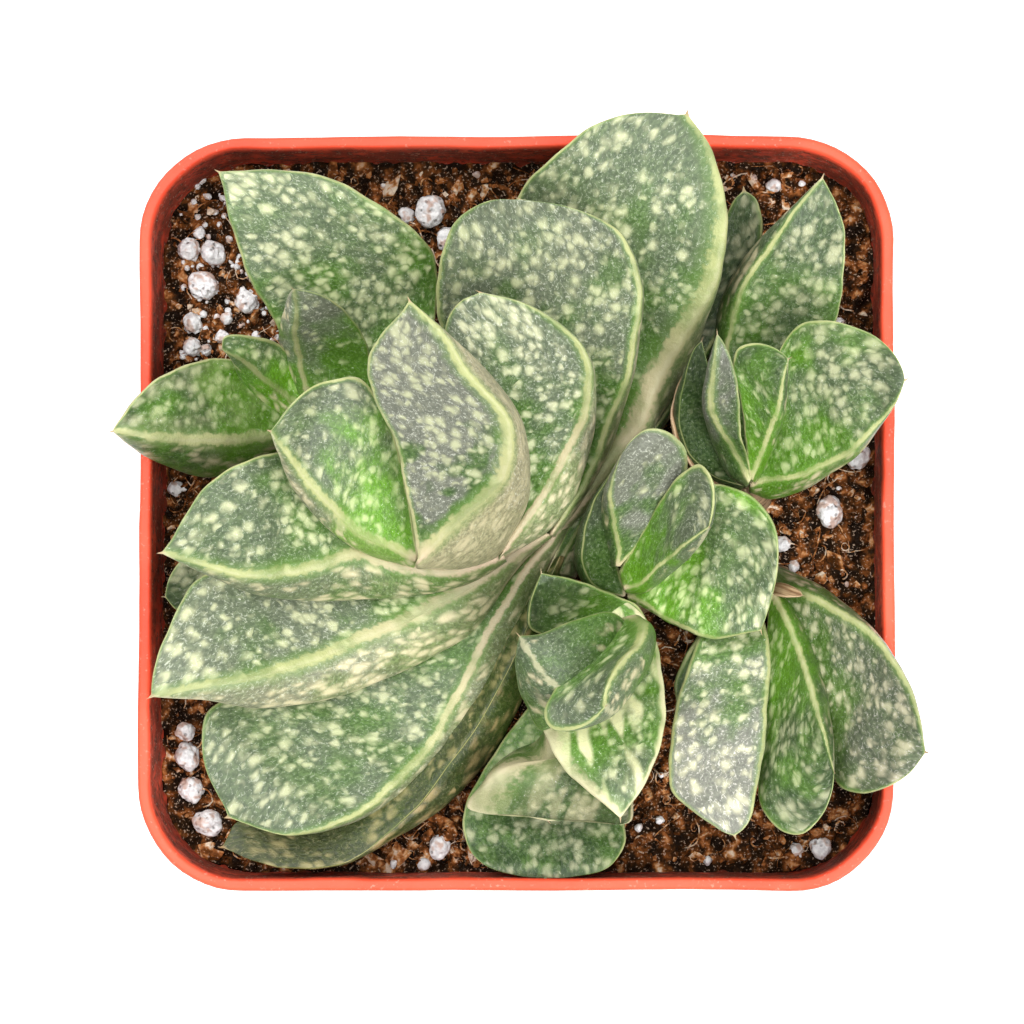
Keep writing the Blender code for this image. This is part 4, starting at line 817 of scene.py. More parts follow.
def make_leaf_skin(spots_group):
    """Waxy gasteria skin, from the coordinates and the strengths that each leaf carries."""
    material, tree, shader = new_material("leaf_skin", IOR=1.42, Specular_IOR_Level=0.42)
    place = carried(tree, "leaf_place", "Vector")
    tint = carried(tree, "leaf_tint_and_painted_light", "Vector")
    margin, keel, reach = three_parts(carried(tree, "leaf_edge", "Vector"))
    grey, fresh, amount = three_parts(carried(tree, "leaf_tone", "Vector"))
    cream, clasp, flank = three_parts(carried(tree, "leaf_extra", "Vector"))
    grain, cloud = use_grain(place, 1.3, 0.16)
    fine = noise_at(place, 2.6, 2.0, 0.7)
    thread = noise_at(place, 1.7, 1.0)
    under = ramp(margin, 0.0, -0.35)
    along = reach + ramp(cloud, 0.3, 0.7, -0.25, 0.25)

    # Flesh: deep green, brighter where the leaf is young and shaded, grey with wax towards the tip
    deep = blend(ramp(grain, 0.3, 0.7), (0.03, 0.063, 0.017), (0.07, 0.112, 0.038))
    bright = fresh * ramp(along, 0.95, 0.2)
    waxed = calc("MULTIPLY", grey, ramp(along, 0.2, 0.75), clamp=True)
    flesh = blend(waxed, blend(bright, deep, (0.088, 0.222, 0.008)), (0.135, 0.143, 0.108))
    # Paler flanks: partly their own paler colour, partly painted light that lifts flanks which lie in shade
    pale_and_lit_flank = under * flank
    mottled = blend(ramp(thread, 0.4, 0.56), (0.3, 0.272, 0.16), (0.4, 0.352, 0.21))
    flesh = blend(calc("MULTIPLY", pale_and_lit_flank, 0.7, clamp=True), flesh, mottled)
    flesh = blend(1.0, flesh, ramp(fine, 0.3, 0.7, 0.75, 1.2), "MULTIPLY")

    # Spots, drawn out along the leaf and thicker on its flanks, and cream streaks on some leaves
    longer = new_signal(tree, "ShaderNodeCombineXYZ", "Vector", {"X": 1.0 - under * 0.45, "Y": 1.0, "Z": 1.0})
    room = amount + 0.11 + pale_and_lit_flank * 0.2 - ramp(abs(margin), 3.2, 1.4, 0.0, 0.45)
    spots, = use_group(spots_group, {"Place": place.vector("MULTIPLY", longer), "Amount": room})
    spot_colour = blend(bright * 0.8, (0.43, 0.44, 0.265), (0.42, 0.54, 0.2))
    spot_colour = blend(under, spot_colour, (0.52, 0.46, 0.28))
    spotted = blend(spots * 0.84, flesh, spot_colour)
    streaks = noise_at(place.vector("MULTIPLY", (0.17, 0.45, 0.45)), 1.0, 1.0)
    streaked = blend(ramp(streaks, 0.44, 0.6, 0.0, 0.9) * cream, spotted, (0.56, 0.55, 0.31))

    # Fine curled flecks of wax, thickest where the leaf is grey
    curl = ramp(abs(thread - 0.5), 0.04, 0.0) * ramp(fine, 0.45, 0.55)
    fleck = calc("MAXIMUM", curl * (waxed * 0.35 + 0.15), ramp(fine, 0.7, 0.75, 0.0, 0.75))
    flecked = blend(fleck, streaked, (0.62, 0.63, 0.53))
    # Painted light: where a leaf's tint is above 1, its flesh, spots and flecks are lightened, for leaves
    # that lie in shade
    flecked = blend(1.0, flecked, tint.vector("MAXIMUM", (1.0, 1.0, 1.0)), "MULTIPLY")

    # A horny margin, thinner towards the tip, with bright green beside it, and a thin line along the keel
    wander = ramp(grain, 0.3, 0.7, -0.22, 0.22)
    reach_out = abs(margin) + wander + under * 0.45 + ramp(reach, 0.6, 0.95, 0.0, 0.4)
    haloed = blend(ramp(reach_out, 2.6, 1.1, 0.0, 0.4), flecked, (0.13, 0.25, 0.04))
    worn = ramp(cloud, 0.38, 0.58, 0.45, 1.0)
    pink = ramp(reach, 0.65, 0.25, 0.0, 0.8) * ramp(clasp, 0.0, 0.05)
    band_colour = blend(pink, (0.43, 0.45, 0.19), (0.6, 0.47, 0.32))
    band_colour = blend(calc("MULTIPLY", cream, 2.0, clamp=True), band_colour, (0.68, 0.62, 0.38))
    banded = blend(ramp(reach_out, 1.35, 0.7, 0.0, 0.85) * worn, haloed, band_colour)
    edge_line = ramp(reach_out, 0.5, 0.1, 0.0, 0.3) * worn
    keel_line = ramp(keel + wander, 0.6, 0.1, 0.0, 0.6)
    lined = blend(calc("MAXIMUM", edge_line, keel_line), banded, (0.56, 0.53, 0.33))

    # Pink and cream where the leaf clasps the stem, and a brown point
    base = ramp(reach - clasp, 0.08, -0.03) * ramp(streaks, 0.38, 0.56, 0.25, 0.9)
    base = base * ramp(calc("MINIMUM", reach_out, keel), 1.8, 0.7, 0.12, 1.0)
    based = blend(base, lined, (0.66, 0.5, 0.35))
    pointed = blend(ramp(reach, 0.985, 1.0, 0.0, 0.7), based, (0.4, 0.24, 0.14))
    # Painted shade: where a leaf's tint is below 1, the whole skin is darkened and warmed, for leaves that
    # lie in shade
    colour = blend(1.0, pointed, tint.vector("MINIMUM", (1.0, 1.0, 1.0)), "MULTIPLY")
    finish_skin(shader, colour, fine, 0.4, 0.0003, ramp(fine, 0.3, 0.7, 0.3, 0.52))
    return material


def make_stem_skin():
    """Corky tan stem, ringed by the scars of old leaves, with papery shreds of their bases."""
    material, tree, shader = new_material("stem_skin", Specular_IOR_Level=0.2, Roughness=0.8)
    place = place_in_mm(tree)
    grain, cloud = use_grain(place, 1.8, 0.35)
    rings = noise_at(place.vector("MULTIPLY", (0.15, 0.15, 1.3)), 1.0, 3.0)
    corky = blend(ramp(cloud, 0.3, 0.7), (0.13, 0.085, 0.045), (0.3, 0.2, 0.11))
    scarred = blend(ramp(rings, 0.5, 0.62, 0.0, 0.8), corky, (0.05, 0.03, 0.015))
    colour = blend(ramp(grain, 0.58, 0.68, 0.0, 0.5), scarred, (0.45, 0.35, 0.22))
    finish_skin(shader, colour, grain + rings, 0.6, 0.0004)
    return material


def make_dry_bract():
    """A dead papery leaf: tan, with lengthwise fibres, brown at its edges."""
    material, tree, shader = new_material("dry_bract", Specular_IOR_Level=0.25, Roughness=0.7)
    place = carried(tree, "leaf_place", "Vector")
    margin, _, _ = three_parts(carried(tree, "leaf_edge", "Vector"))
    fibres = noise_at(place.vector("MULTIPLY", (0.25, 3.0, 3.0)), 1.0, 3.0)
    _, cloud = use_grain(place, 2.0, 0.5)
    tan = blend(ramp(fibres, 0.35, 0.65), (0.24, 0.13, 0.06), (0.5, 0.34, 0.19))
    aged = blend(ramp(cloud, 0.5, 0.66, 0.0, 0.7), tan, (0.13, 0.06, 0.025))
    colour = blend(ramp(abs(margin), 0.8, 0.1, 0.0, 0.6), aged, (0.6, 0.44, 0.28))
    finish_skin(shader, colour, fibres, 0.6, 0.0004)
    return material


leaf_skin = make_leaf_skin(add_leaf_spots_group())
stem_skin = make_stem_skin()
dry_bract = make_dry_bract()
STEM_RINGS = 64
STEM_SIDES = 56
# Height along a stem and width there, in shares of its length and of its radius
STEM_PROFILE = ((0.0, 0.75), (0.12, 0.9), (0.2, 1.0), (0.32, 0.93), (0.42, 1.0), (0.54, 0.93), (0.64, 1.0),
                (0.76, 0.93), (0.9, 0.85), (0.97, 0.6), (1.0, 0.3))


def build_stem(name, foot, top, radius):
    """The short stem under a rosette: leaf scars round it, each with a ragged lip, and a domed top."""
    foot, top = Vector(foot), Vector(top)
    turn = (top - foot).to_track_quat("Z", "Y")
    heights, radii = zip(*STEM_PROFILE)
    points = []
    for h in np.linspace(0, 1, STEM_RINGS):
        share = np.interp(h, heights, radii)
        for k in range(STEM_SIDES):
            angle = 2 * pi * k / STEM_SIDES
            ragged = noise.noise(Vector((cos(angle) * 2.5, sin(angle) * 2.5, h * 26)) + foot)
            r = radius * share * (0.97 + 0.04 * ragged)
            points.append(foot + turn @ Vector((r * cos(angle), r * sin(angle), (top - foot).length * h)))
    faces = tube_faces(STEM_RINGS, STEM_SIDES, True, True)
    add_mesh(name + "_skin", [p[:] for p in points], faces, stem_skin, name)


def build_leaves(leaves, first_seed):
    """The leaves of one rosette, each with its coordinates and what Leaf says of its skin."""
    for number, leaf in enumerate(leaves):
        points, faces, places, edges = leaf_mesh(leaf, first_seed + number)
        dead = "bract" in leaf.name
        piece = add_mesh(leaf.name + "_skin", points, faces, dry_bract if dead else leaf_skin, leaf.name)
        set_vectors(piece, "leaf_place", places)
        set_vectors(piece, "leaf_edge", edges)
        # Each leaf's tint is carried too: partly its own tone, partly painted light and shade
        for name, strengths in (("leaf_tone", (leaf.grey, leaf.fresh, leaf.spots)),
                                ("leaf_extra", (leaf.cream, leaf.clasp, leaf.flank)),
                                ("leaf_tint_and_painted_light", np.ones(3) * leaf.tint)):
            set_vectors(piece, name, np.tile(strengths, (len(points), 1)))


MAIN_LEAVES = [
    Leaf("main_leaf_1", (-11, 22.2, 114),
         left=[(-11.1, -5.8, 91), (-12.6, 2.4, 97), (-14, 8.2, 102), (-15.7, 11.4, 104), (-16.5, 15, 108),
            (-14.5, 18.8, 112)],
         right=[(-11.3, -6.4, 91), (-6.1, -1.8, 95), (-1.7, 2, 98), (0.2, 5.8, 102), (-0.2, 9.3, 105),
            (-2.3, 12, 107), (-4.6, 14.5, 109), (-7.8, 19.2, 113)],
         keel=[(-11.1, -6.8, 86), (-6.3, -7.1, 83), (-1.9, -5.5, 82), (-0.1, -2.7, 83), (1.6, 0.9, 86),
            (1.7, 4.5, 89), (1, 8.9, 93), (-0.5, 12.4, 97), (-3.4, 16.1, 103), (-7, 18.9, 110)],
         hollow=0.3, pale=(0.35, 1), grey=4.5, fresh=0.1, spots=0.55, flank=1.1, clasp=0.02, tint=1.1),
    Leaf("main_leaf_2", (-27.6, 8.2, 102),
         left=[(-11.5, -6.1, 88), (-14.5, -4.7, 88), (-18.6, -2.6, 90), (-22.1, 0.9, 94), (-25.2, 4.7, 98)],
         right=[(-11.2, -5.5, 88), (-11.8, 0.4, 90), (-12.9, 6, 93), (-14.4, 11.1, 96), (-17.2, 14.7, 99),
            (-20.3, 14.6, 100), (-23.8, 13, 102)],
         keel=[(-11.7, -6.5, 83), (-15.5, -5.8, 83), (-19.4, -4.5, 86), (-23.1, -1.6, 90), (-25.9, 2.1, 94),
            (-27.1, 6, 99)],
         hollow=0.4, pale=(0.75, 0.35), grey=0.45, fresh=1.0, spots=0.64, flank=0.25, tint=1.2),
    Leaf("main_leaf_3", (-3.5, 24.4, 100),
         left=[(-2, -6, 82), (-5.3, 1.4, 82), (-7.8, 9.4, 86), (-9, 16, 92), (-8.3, 20.6, 96),
            (-6.3, 23.4, 99)],
         right=[(-1.7, -5.4, 84), (0.7, -2.1, 85), (3.2, 1.4, 86), (5.3, 4.6, 88), (7.1, 7.9, 90),
            (8.7, 11.2, 93.5), (9.2, 15.6, 98), (7.2, 19.3, 101), (2.5, 22.7, 101)],
         keel=[(-1.6, -5.7, 80.5), (1.7, -4, 79.5), (3.9, -2.6, 79.5), (5.7, -0.6, 80.5), (7.5, 2, 82),
            (8.6, 5, 84), (9.2, 8.2, 86), (9.5, 11.5, 89), (8.8, 15.9, 93), (5.7, 20.4, 98),
            (0.5, 23.5, 99.5)],
         hollow=0.4, pale=(0.35, 0.6), grey=0.5, fresh=0.2, spots=0.62, flank=0.4, clasp=0.05,
         tint=(1.6, 1.58, 1.7)),
    Leaf("main_leaf_4", (-40.8, -5.5, 95),
         left=[(-1.3, -5.3, 83), (-5.3, -6.7, 82.5), (-8.9, -7.4, 82.5), (-14, -6.6, 84), (-18.5, -5.4, 86),
            (-23, -6.8, 88), (-29.5, -8.1, 91), (-35.8, -6.9, 94)],
         right=[(-1.8, -4.5, 81), (-6.6, -0.9, 80), (-13.7, 3.8, 81), (-21.8, 6.9, 85), (-27.4, 7.1, 89),
            (-31.4, 5.8, 92), (-36.4, 2, 94)],
         keel=[(-1.2, -5.7, 79), (-4.1, -7.8, 78), (-8.1, -9.4, 78), (-13.8, -10.5, 79),
            (-17.5, -10.8, 80.5), (-24.3, -11, 82.5), (-30.6, -10.2, 86), (-36, -8, 91.5)],
         hollow=0.5, pale=(0.85, 0.25), grey=0.35, fresh=0.3, spots=0.7, flank=0.12, clasp=0.09, tint=1.27),
    Leaf("main_leaf_5", (1, 35.5, 97),
         left=[(3.6, -2.7, 77), (-2, 5.3, 76), (-6.9, 13.4, 80), (-9.1, 21.2, 87), (-9.2, 27.8, 92),
            (-7, 33, 95), (-3.4, 35.3, 97)],
         right=[(4.1, -2.6, 80), (6, -0.2, 80.5), (8.1, 2.7, 81), (9.6, 6.1, 82), (10.9, 9.5, 84),
            (12.5, 12.9, 86), (14.4, 19, 91.5), (14.9, 26.5, 95), (12.8, 31.5, 97), (7.1, 34.5, 97)],
         keel=[(4.5, -2.9, 76.5), (7, 0.2, 76.5), (9.4, 4.2, 77), (11.1, 7.5, 78.5), (12.7, 11.5, 81),
            (14, 19.5, 85), (13.9, 27.3, 90), (10.3, 32.8, 95)],
         hollow=0.4, pale=(0.45, 0.45), grey=0.6, fresh=0.25, spots=0.6, flank=0.4, tint=1.17),
    Leaf("main_leaf_6", (-42.5, -22.1, 89),
         left=[(3.9, -2.6, 80), (0.5, -4.7, 79.5), (-1.9, -6.5, 79), (-4.9, -8.4, 79), (-9, -10.8, 79.5),
            (-14.3, -13.4, 80.5), (-23.8, -17.6, 83), (-29.8, -19.6, 86), (-36.2, -20.8, 88.5)],
         right=[(2.9, -2.1, 79), (-1.9, -2, 78), (-11.5, -3.8, 78), (-22.2, -4.2, 79), (-31.5, -5.3, 82.5),
            (-37.4, -7.8, 86), (-40.6, -13, 88), (-42.6, -19.5, 89)],
         keel=[(4, -2.8, 76.5), (1.6, -4.8, 75.5), (-0.7, -7.9, 75), (-2.6, -11, 74.5), (-5, -14.6, 74.5),
            (-9.2, -17.1, 75), (-13.9, -19.5, 76), (-20.9, -22.3, 78), (-29.6, -23.7, 81),
            (-36.4, -22.8, 86.5)],
         hollow=0.5, pale=(0.9, 0.25), grey=0.6, fresh=0.2, flank=0.3, clasp=0.12, tint=1.4),
    Leaf("main_leaf_7", (20.5, 46, 92),
         left=[(5, -1.5, 76), (2.2, 11.3, 75), (-1, 21.9, 78), (-1.5, 31.1, 82.5), (0.1, 37.1, 87),
            (3.7, 40.9, 90), (9.1, 44.9, 92), (14.9, 46.4, 92)],
         right=[(5.2, -1.7, 77), (7.3, 0.6, 77.5), (9.8, 3.9, 78), (12.4, 7.5, 79), (15.1, 10.9, 80.5),
            (17.7, 16.7, 82.5), (21.4, 22.2, 85.5), (24.2, 27.5, 88), (25.1, 34.4, 90), (23.7, 41.5, 91)],
         keel=[(5.7, -2.1, 73.5), (8.4, 0.8, 73.5), (11.4, 4.6, 74), (15.4, 8.9, 75), (20, 15.8, 76.5),
            (22.7, 23.5, 79.5), (23.8, 31, 83), (23.4, 38.8, 87.5)],
         hollow=0.5, pale=(0.3, 1.6), grey=0.35, fresh=0.25, spots=0.55, flank=0.45, clasp=0.05, tint=1.3),
    Leaf("main_leaf_8", (-33.9, -36.3, 83),
         left=[(6.2, -0.2, 77), (3.6, -3.9, 76.5), (1.1, -6.9, 76), (-0.9, -10.3, 76), (-2.8, -13.4, 76),
            (-4.8, -17.3, 76), (-7.2, -22.3, 76), (-10.3, -27.7, 77), (-14.4, -32.4, 78.5),
            (-20.2, -36.8, 80.5), (-27.2, -38.5, 82)],
         right=[(5.7, 0.2, 76), (0.4, -5.5, 75), (-4.4, -11.5, 75), (-15.2, -16.9, 75.5),
            (-25.8, -20.2, 78), (-33.3, -21.2, 81), (-36.8, -23.8, 83), (-37, -30.1, 83)],
         keel=[(6.6, -0.6, 73.5), (5.2, -3.7, 73), (3.7, -6.8, 72.5), (2.1, -10.5, 72.5),
            (0.1, -15.3, 72.5), (-2.3, -20.1, 73), (-5.4, -25.1, 73.5), (-10.2, -30.9, 74),
            (-14.9, -34.6, 75), (-23.4, -37.6, 78)],
         hollow=0.4, pale=(0.55, 0.3), grey=0.35, fresh=0.25, spots=0.55, flank=0.3, clasp=0.1, tint=1.18),
    Leaf("main_leaf_9", (27.2, 38.1, 83),
         left=[(3.5, -6.9, 74.5), (4.7, -4, 74.5), (6.6, -0.3, 75), (9.4, 3.6, 75), (12.6, 7.7, 75),
            (16.6, 14.2, 76), (21.1, 25.5, 77.5), (23.9, 31.9, 80), (25.2, 36.2, 82)],
         right=[(4.7, -7, 74), (6.1, -4.1, 74), (8.2, -0.7, 74.5), (10.8, 2.9, 75), (14.1, 7.1, 75),
            (19, 13.4, 76), (24, 21.1, 77), (27.7, 27.5, 79), (29.7, 33.2, 81.5), (28.9, 36.9, 83)],
         keel=[(7.5, -7.8, 71.5), (8.5, -4.9, 71.5), (9.2, -1.5, 71.5), (11.9, 2.5, 71.5),
            (15.4, 7.2, 71.5), (19.4, 13.3, 72), (23.7, 21.1, 72.5), (26.9, 27.7, 73.5), (28.3, 32.8, 77)],
         hollow=0.3, grey=0.1, fresh=0.2, spots=0.6, tint=0.75),
    Leaf("main_leaf_10", (-35.1, -39.9, 78),
         left=[(5.2, -5, 75), (2.8, -10.3, 75), (-0.2, -16.9, 76), (-2.3, -21.3, 76.5), (-4.6, -25.2, 77),
            (-7.9, -29.9, 77.5), (-12.4, -35.6, 78.5), (-19.9, -41.6, 79.5), (-27.8, -42.6, 79.5)],
         right=[(4.2, -5.5, 74), (0.4, -10.5, 74), (-2.6, -15.7, 74), (-5.6, -21.1, 74), (-9.8, -26.5, 75),
            (-15.1, -31.2, 76), (-25.8, -35.2, 77), (-33.6, -36.4, 77.5)],
         keel=[(5.9, -5.6, 71.5), (4.2, -10.9, 71.5), (2.7, -16.8, 71.5), (0.5, -23.2, 71.5),
            (-2.8, -29.1, 72), (-7.8, -34.6, 73.5), (-14, -38.3, 75), (-22.2, -41.1, 77)],
         hollow=0.3, pale=(0.05, 0.1), grey=0.2, fresh=0.2, tint=(0.66, 0.56, 0.4)),
]
build_leaves(MAIN_LEAVES, 100)
build_stem("main_stem", (5, -7, 58), (2, -5, 72), 4.6)

# North-west pup
# A young rosette of five leaves, glossier and greener than the main one, that leans over the pot's rim.
NORTHWEST_LEAVES = [
    Leaf("northwest_leaf_1", (-25.6, 25.4, 94),
         left=[(-24.8, 13.9, 80), (-25.7, 17.1, 82), (-26, 20.1, 86), (-25.6, 23, 91)],
         right=[(-16.5, 14, 79), (-16.9, 18.3, 82), (-18.2, 21.8, 87), (-20.4, 24, 91), (-23.1, 25.1, 93)],
         keel=[(-26.1, 14, 75), (-27.7, 17.4, 76), (-28.3, 21, 79), (-27.6, 23.5, 85), (-26.6, 25, 90)],
         hollow=0.6, pale=(0.45, 0.2), grey=0.8, fresh=0.5, spots=0.25, tint=1.8),
    Leaf("northwest_leaf_2", (-34.4, 18.8, 88),
         left=[(-25.6, 11.9, 78), (-28, 14.2, 80), (-30.5, 16.2, 83), (-32.4, 17.6, 86)],
         right=[(-24.4, 14.1, 78), (-26, 17.6, 80), (-27.7, 20, 83), (-29.8, 20.7, 86), (-32.3, 20.8, 88),
            (-34, 20.5, 88.5)],
         keel=[(-27.2, 10.6, 73), (-30, 11.5, 74), (-32.4, 14.1, 76), (-33.5, 16.6, 80), (-33.9, 18.1, 85)],
         hollow=0.3, pale=(0.5, 0.3), grey=0.2, fresh=0.9, spots=0.7, tint=1.9),
    Leaf("northwest_leaf_3", (-34.9, 39.9, 88),
         left=[(-20.5, 9.9, 76), (-25.1, 14.8, 78), (-28.1, 20.9, 81), (-30.8, 25.7, 84), (-32.7, 29.9, 86),
            (-34, 35.1, 88)],
         right=[(-17.1, 10.7, 76), (-11.5, 17.2, 78), (-9, 25.4, 80), (-9.2, 30.3, 83), (-12.1, 33.6, 86),
            (-16.4, 36.6, 88), (-21.6, 39.1, 89), (-28.1, 40.2, 89)],
         keel=[(-19.1, 10.2, 71), (-18.8, 17.7, 71), (-20.5, 26, 74), (-24.5, 32.8, 78), (-30, 37.9, 84)],
         hollow=0.3, pale=(0.3, 0.3), grey=0.35, fresh=0.3, spots=0.65, tint=1.62),
    Leaf("northwest_leaf_4", (-47.2, 9.1, 89),
         left=[(-26, 9.9, 76), (-29.5, 9, 78), (-34, 8.5, 81), (-38.5, 8.2, 84), (-42.9, 8.5, 87),
            (-45.4, 8.9, 88.5)],
         right=[(-24.8, 13.7, 76), (-28.9, 17, 78), (-33.4, 18.5, 81), (-37.3, 18.3, 84), (-41.2, 16.3, 87),
            (-44.5, 13.2, 89), (-46.5, 10.4, 89.5)],
         keel=[(-26.4, 9.3, 70), (-29.4, 7.4, 71), (-33.5, 5, 73), (-38, 4.2, 76), (-42.4, 5.5, 80),
            (-45.5, 7.2, 85)],
         hollow=0.4, pale=(0.9, 0.25), grey=0.05, fresh=0.85, spots=0.85, cream=0.12, tint=0.98),
    Leaf("northwest_leaf_5", (-42, -10, 78),
         left=[(-22.3, 6.9, 75), (-25.8, 0.1, 75.3), (-29.4, -5.5, 75.7), (-33.2, -9.7, 76.3),
            (-37.4, -12.1, 77.1), (-40.3, -12, 77.7)],
         right=[(-25.7, 9.1, 75), (-30.7, 3.6, 75.3), (-35, -0.6, 75.7), (-38.4, -3.6, 76.3),
            (-40.7, -5.8, 77.1), (-41.7, -7.5, 77.7)],
         keel=[(-24, 7.9, 71.6), (-28.4, 1.7, 71.3), (-32.4, -3.3, 71.5), (-36.2, -7, 72.5),
            (-39.6, -9.2, 74.5), (-41.4, -9.9, 76.4)],
         hollow=0.3, grey=0.2),
]
build_leaves(NORTHWEST_LEAVES, 200)
build_stem("northwest_stem", (-20, 9, 60), (-20, 10, 74), 3.6)

# North-east pup
# Three small upright leaves in the middle, a broad spotted one over the east rim and one behind it.
NORTHEAST_LEAVES = [
    Leaf("northeast_leaf_1", (23.8, 19.6, 99),
         left=[(27.7, 3.3, 84), (26.4, 5.9, 85), (24.7, 8.4, 88), (23.3, 10.8, 91), (22.8, 12.6, 94),
            (23.1, 15, 97), (23.5, 17.5, 99)],
         right=[(28.1, 3.8, 84), (27.6, 6, 86), (27, 8, 89), (26.9, 10.7, 92), (26.5, 13.6, 95),
            (25.9, 16.4, 98), (24.9, 18.4, 99)],
         keel=[(27.7, 3, 80), (25.5, 3.8, 80), (23.8, 6.7, 82), (22.7, 10, 86), (22.2, 12.6, 90),
            (22.8, 16.3, 95)],
         hollow=0.2, pale=(0.5, 0.2), grey=1.3, fresh=0.1, spots=-0.1),
    Leaf("northeast_leaf_2", (32.1, 16.8, 97),
         left=[(27.8, 3.8, 84), (27.3, 6.4, 86), (26.8, 9.7, 89), (26.2, 13, 92), (25.4, 16.3, 95),
            (26, 18.2, 97), (28.2, 18.9, 98), (30.5, 18.3, 98)],
         right=[(28.1, 3.6, 84), (29, 5.8, 86), (30.1, 8.3, 89), (31, 11, 92), (31.5, 13.6, 95),
            (31.8, 15.6, 96)],
         keel=[(28.3, 3.3, 80), (29.7, 5.9, 80), (30.9, 8.6, 83), (31.9, 11.6, 87), (32.1, 14.2, 92)],
         hollow=0.4, pale=(0.3, 0.45), grey=0.1, fresh=1.0, spots=0.25),
    Leaf("northeast_leaf_3", (22.1, 19.5, 91),
         left=[(27.3, 3.1, 79), (23.8, 4.1, 79), (20.8, 6.4, 81), (19.6, 9.6, 83), (19.4, 12.9, 86),
            (20.3, 16.5, 89), (21.2, 18.6, 90.5)],
         right=[(27.8, 3.5, 79), (26.5, 6.1, 81), (24.9, 9.5, 84), (23.8, 12.8, 87), (23.2, 16.1, 90)],
         keel=[(27, 2.9, 74), (22.6, 4.8, 73), (19.6, 7.8, 74), (18.9, 10.6, 77), (19.6, 14.4, 82),
            (21, 17.5, 88)],
         hollow=0.3, pale=(0.1, 0.1), grey=0.1, fresh=0.1, spots=-0.1, tint=0.7),
    Leaf("northeast_leaf_4", (45.7, 14.6, 93),
         left=[(27.9, 4, 81), (28.8, 9.6, 83), (29.9, 15.8, 86), (31.9, 20.4, 88), (34.2, 22, 90),
            (37.6, 22, 92), (41.1, 20.8, 93), (43.9, 18.6, 94), (45.4, 16.2, 94)],
         right=[(27.9, 3, 81), (30.2, 3.6, 82), (33.7, 3.9, 84), (37.2, 5.3, 86), (40.4, 7.2, 89),
            (43.1, 9.9, 91), (44.9, 12.3, 93)],
         keel=[(27.8, 2.9, 75), (30.1, 1.7, 75), (34, 2.8, 76), (37.4, 4.8, 79), (41.1, 7.3, 84)],
         hollow=0.8, pale=(0.25, 0.45), grey=0.3, fresh=0.7, spots=0.7, tint=1.12),
    Leaf("northeast_leaf_5", (36.3, 38.9, 89),
         left=[(27, 5.2, 77), (25.6, 13.5, 78), (25.1, 19.3, 80), (25.8, 23.3, 82), (27.2, 26.8, 84),
            (29.3, 30, 86), (31.9, 33.5, 88), (34.4, 36.7, 89)],
         right=[(29.2, 5.2, 77), (33.9, 13.5, 78), (37.7, 20.4, 81), (39.1, 25.5, 84), (39.5, 30, 86),
            (39, 33.9, 88), (37.7, 37.1, 89)],
         keel=[(27.5, 4.9, 71), (25.1, 14, 71), (24.1, 20.5, 73), (24.3, 24.5, 76), (26.2, 28.7, 79),
            (29.1, 32.5, 83), (32.6, 35.5, 87)],
         hollow=0.3, pale=(0.4, 0.2), grey=0.2, fresh=0.4, spots=0.65, tint=1.1),
    Leaf("northeast_dried_bract", (22.5, 19, 85),
         left=[(24.6, 2.8, 77.9), (21.3, 5.2, 80.2), (19.2, 8.2, 82.1), (18.6, 11.8, 83.6),
            (19.7, 15.5, 84.7), (21.3, 17.9, 85)],
         right=[(24.4, 4.2, 76.1), (21.7, 7, 78.3), (20.5, 9.8, 80.2), (20.4, 12.4, 81.9), (21, 15.3, 83.4),
            (21.9, 17.6, 84.4)],
         keel=[(24, 2.9, 76.8), (20.8, 5.7, 79), (18.9, 8.8, 80.8), (18.7, 12.3, 82.4), (19.9, 15.7, 83.8),
            (21.4, 17.9, 84.6)],
         hollow=0.0),
]
build_leaves(NORTHEAST_LEAVES, 300)
build_stem("northeast_stem", (28, 1, 60), (28, 3.5, 75), 3.0)

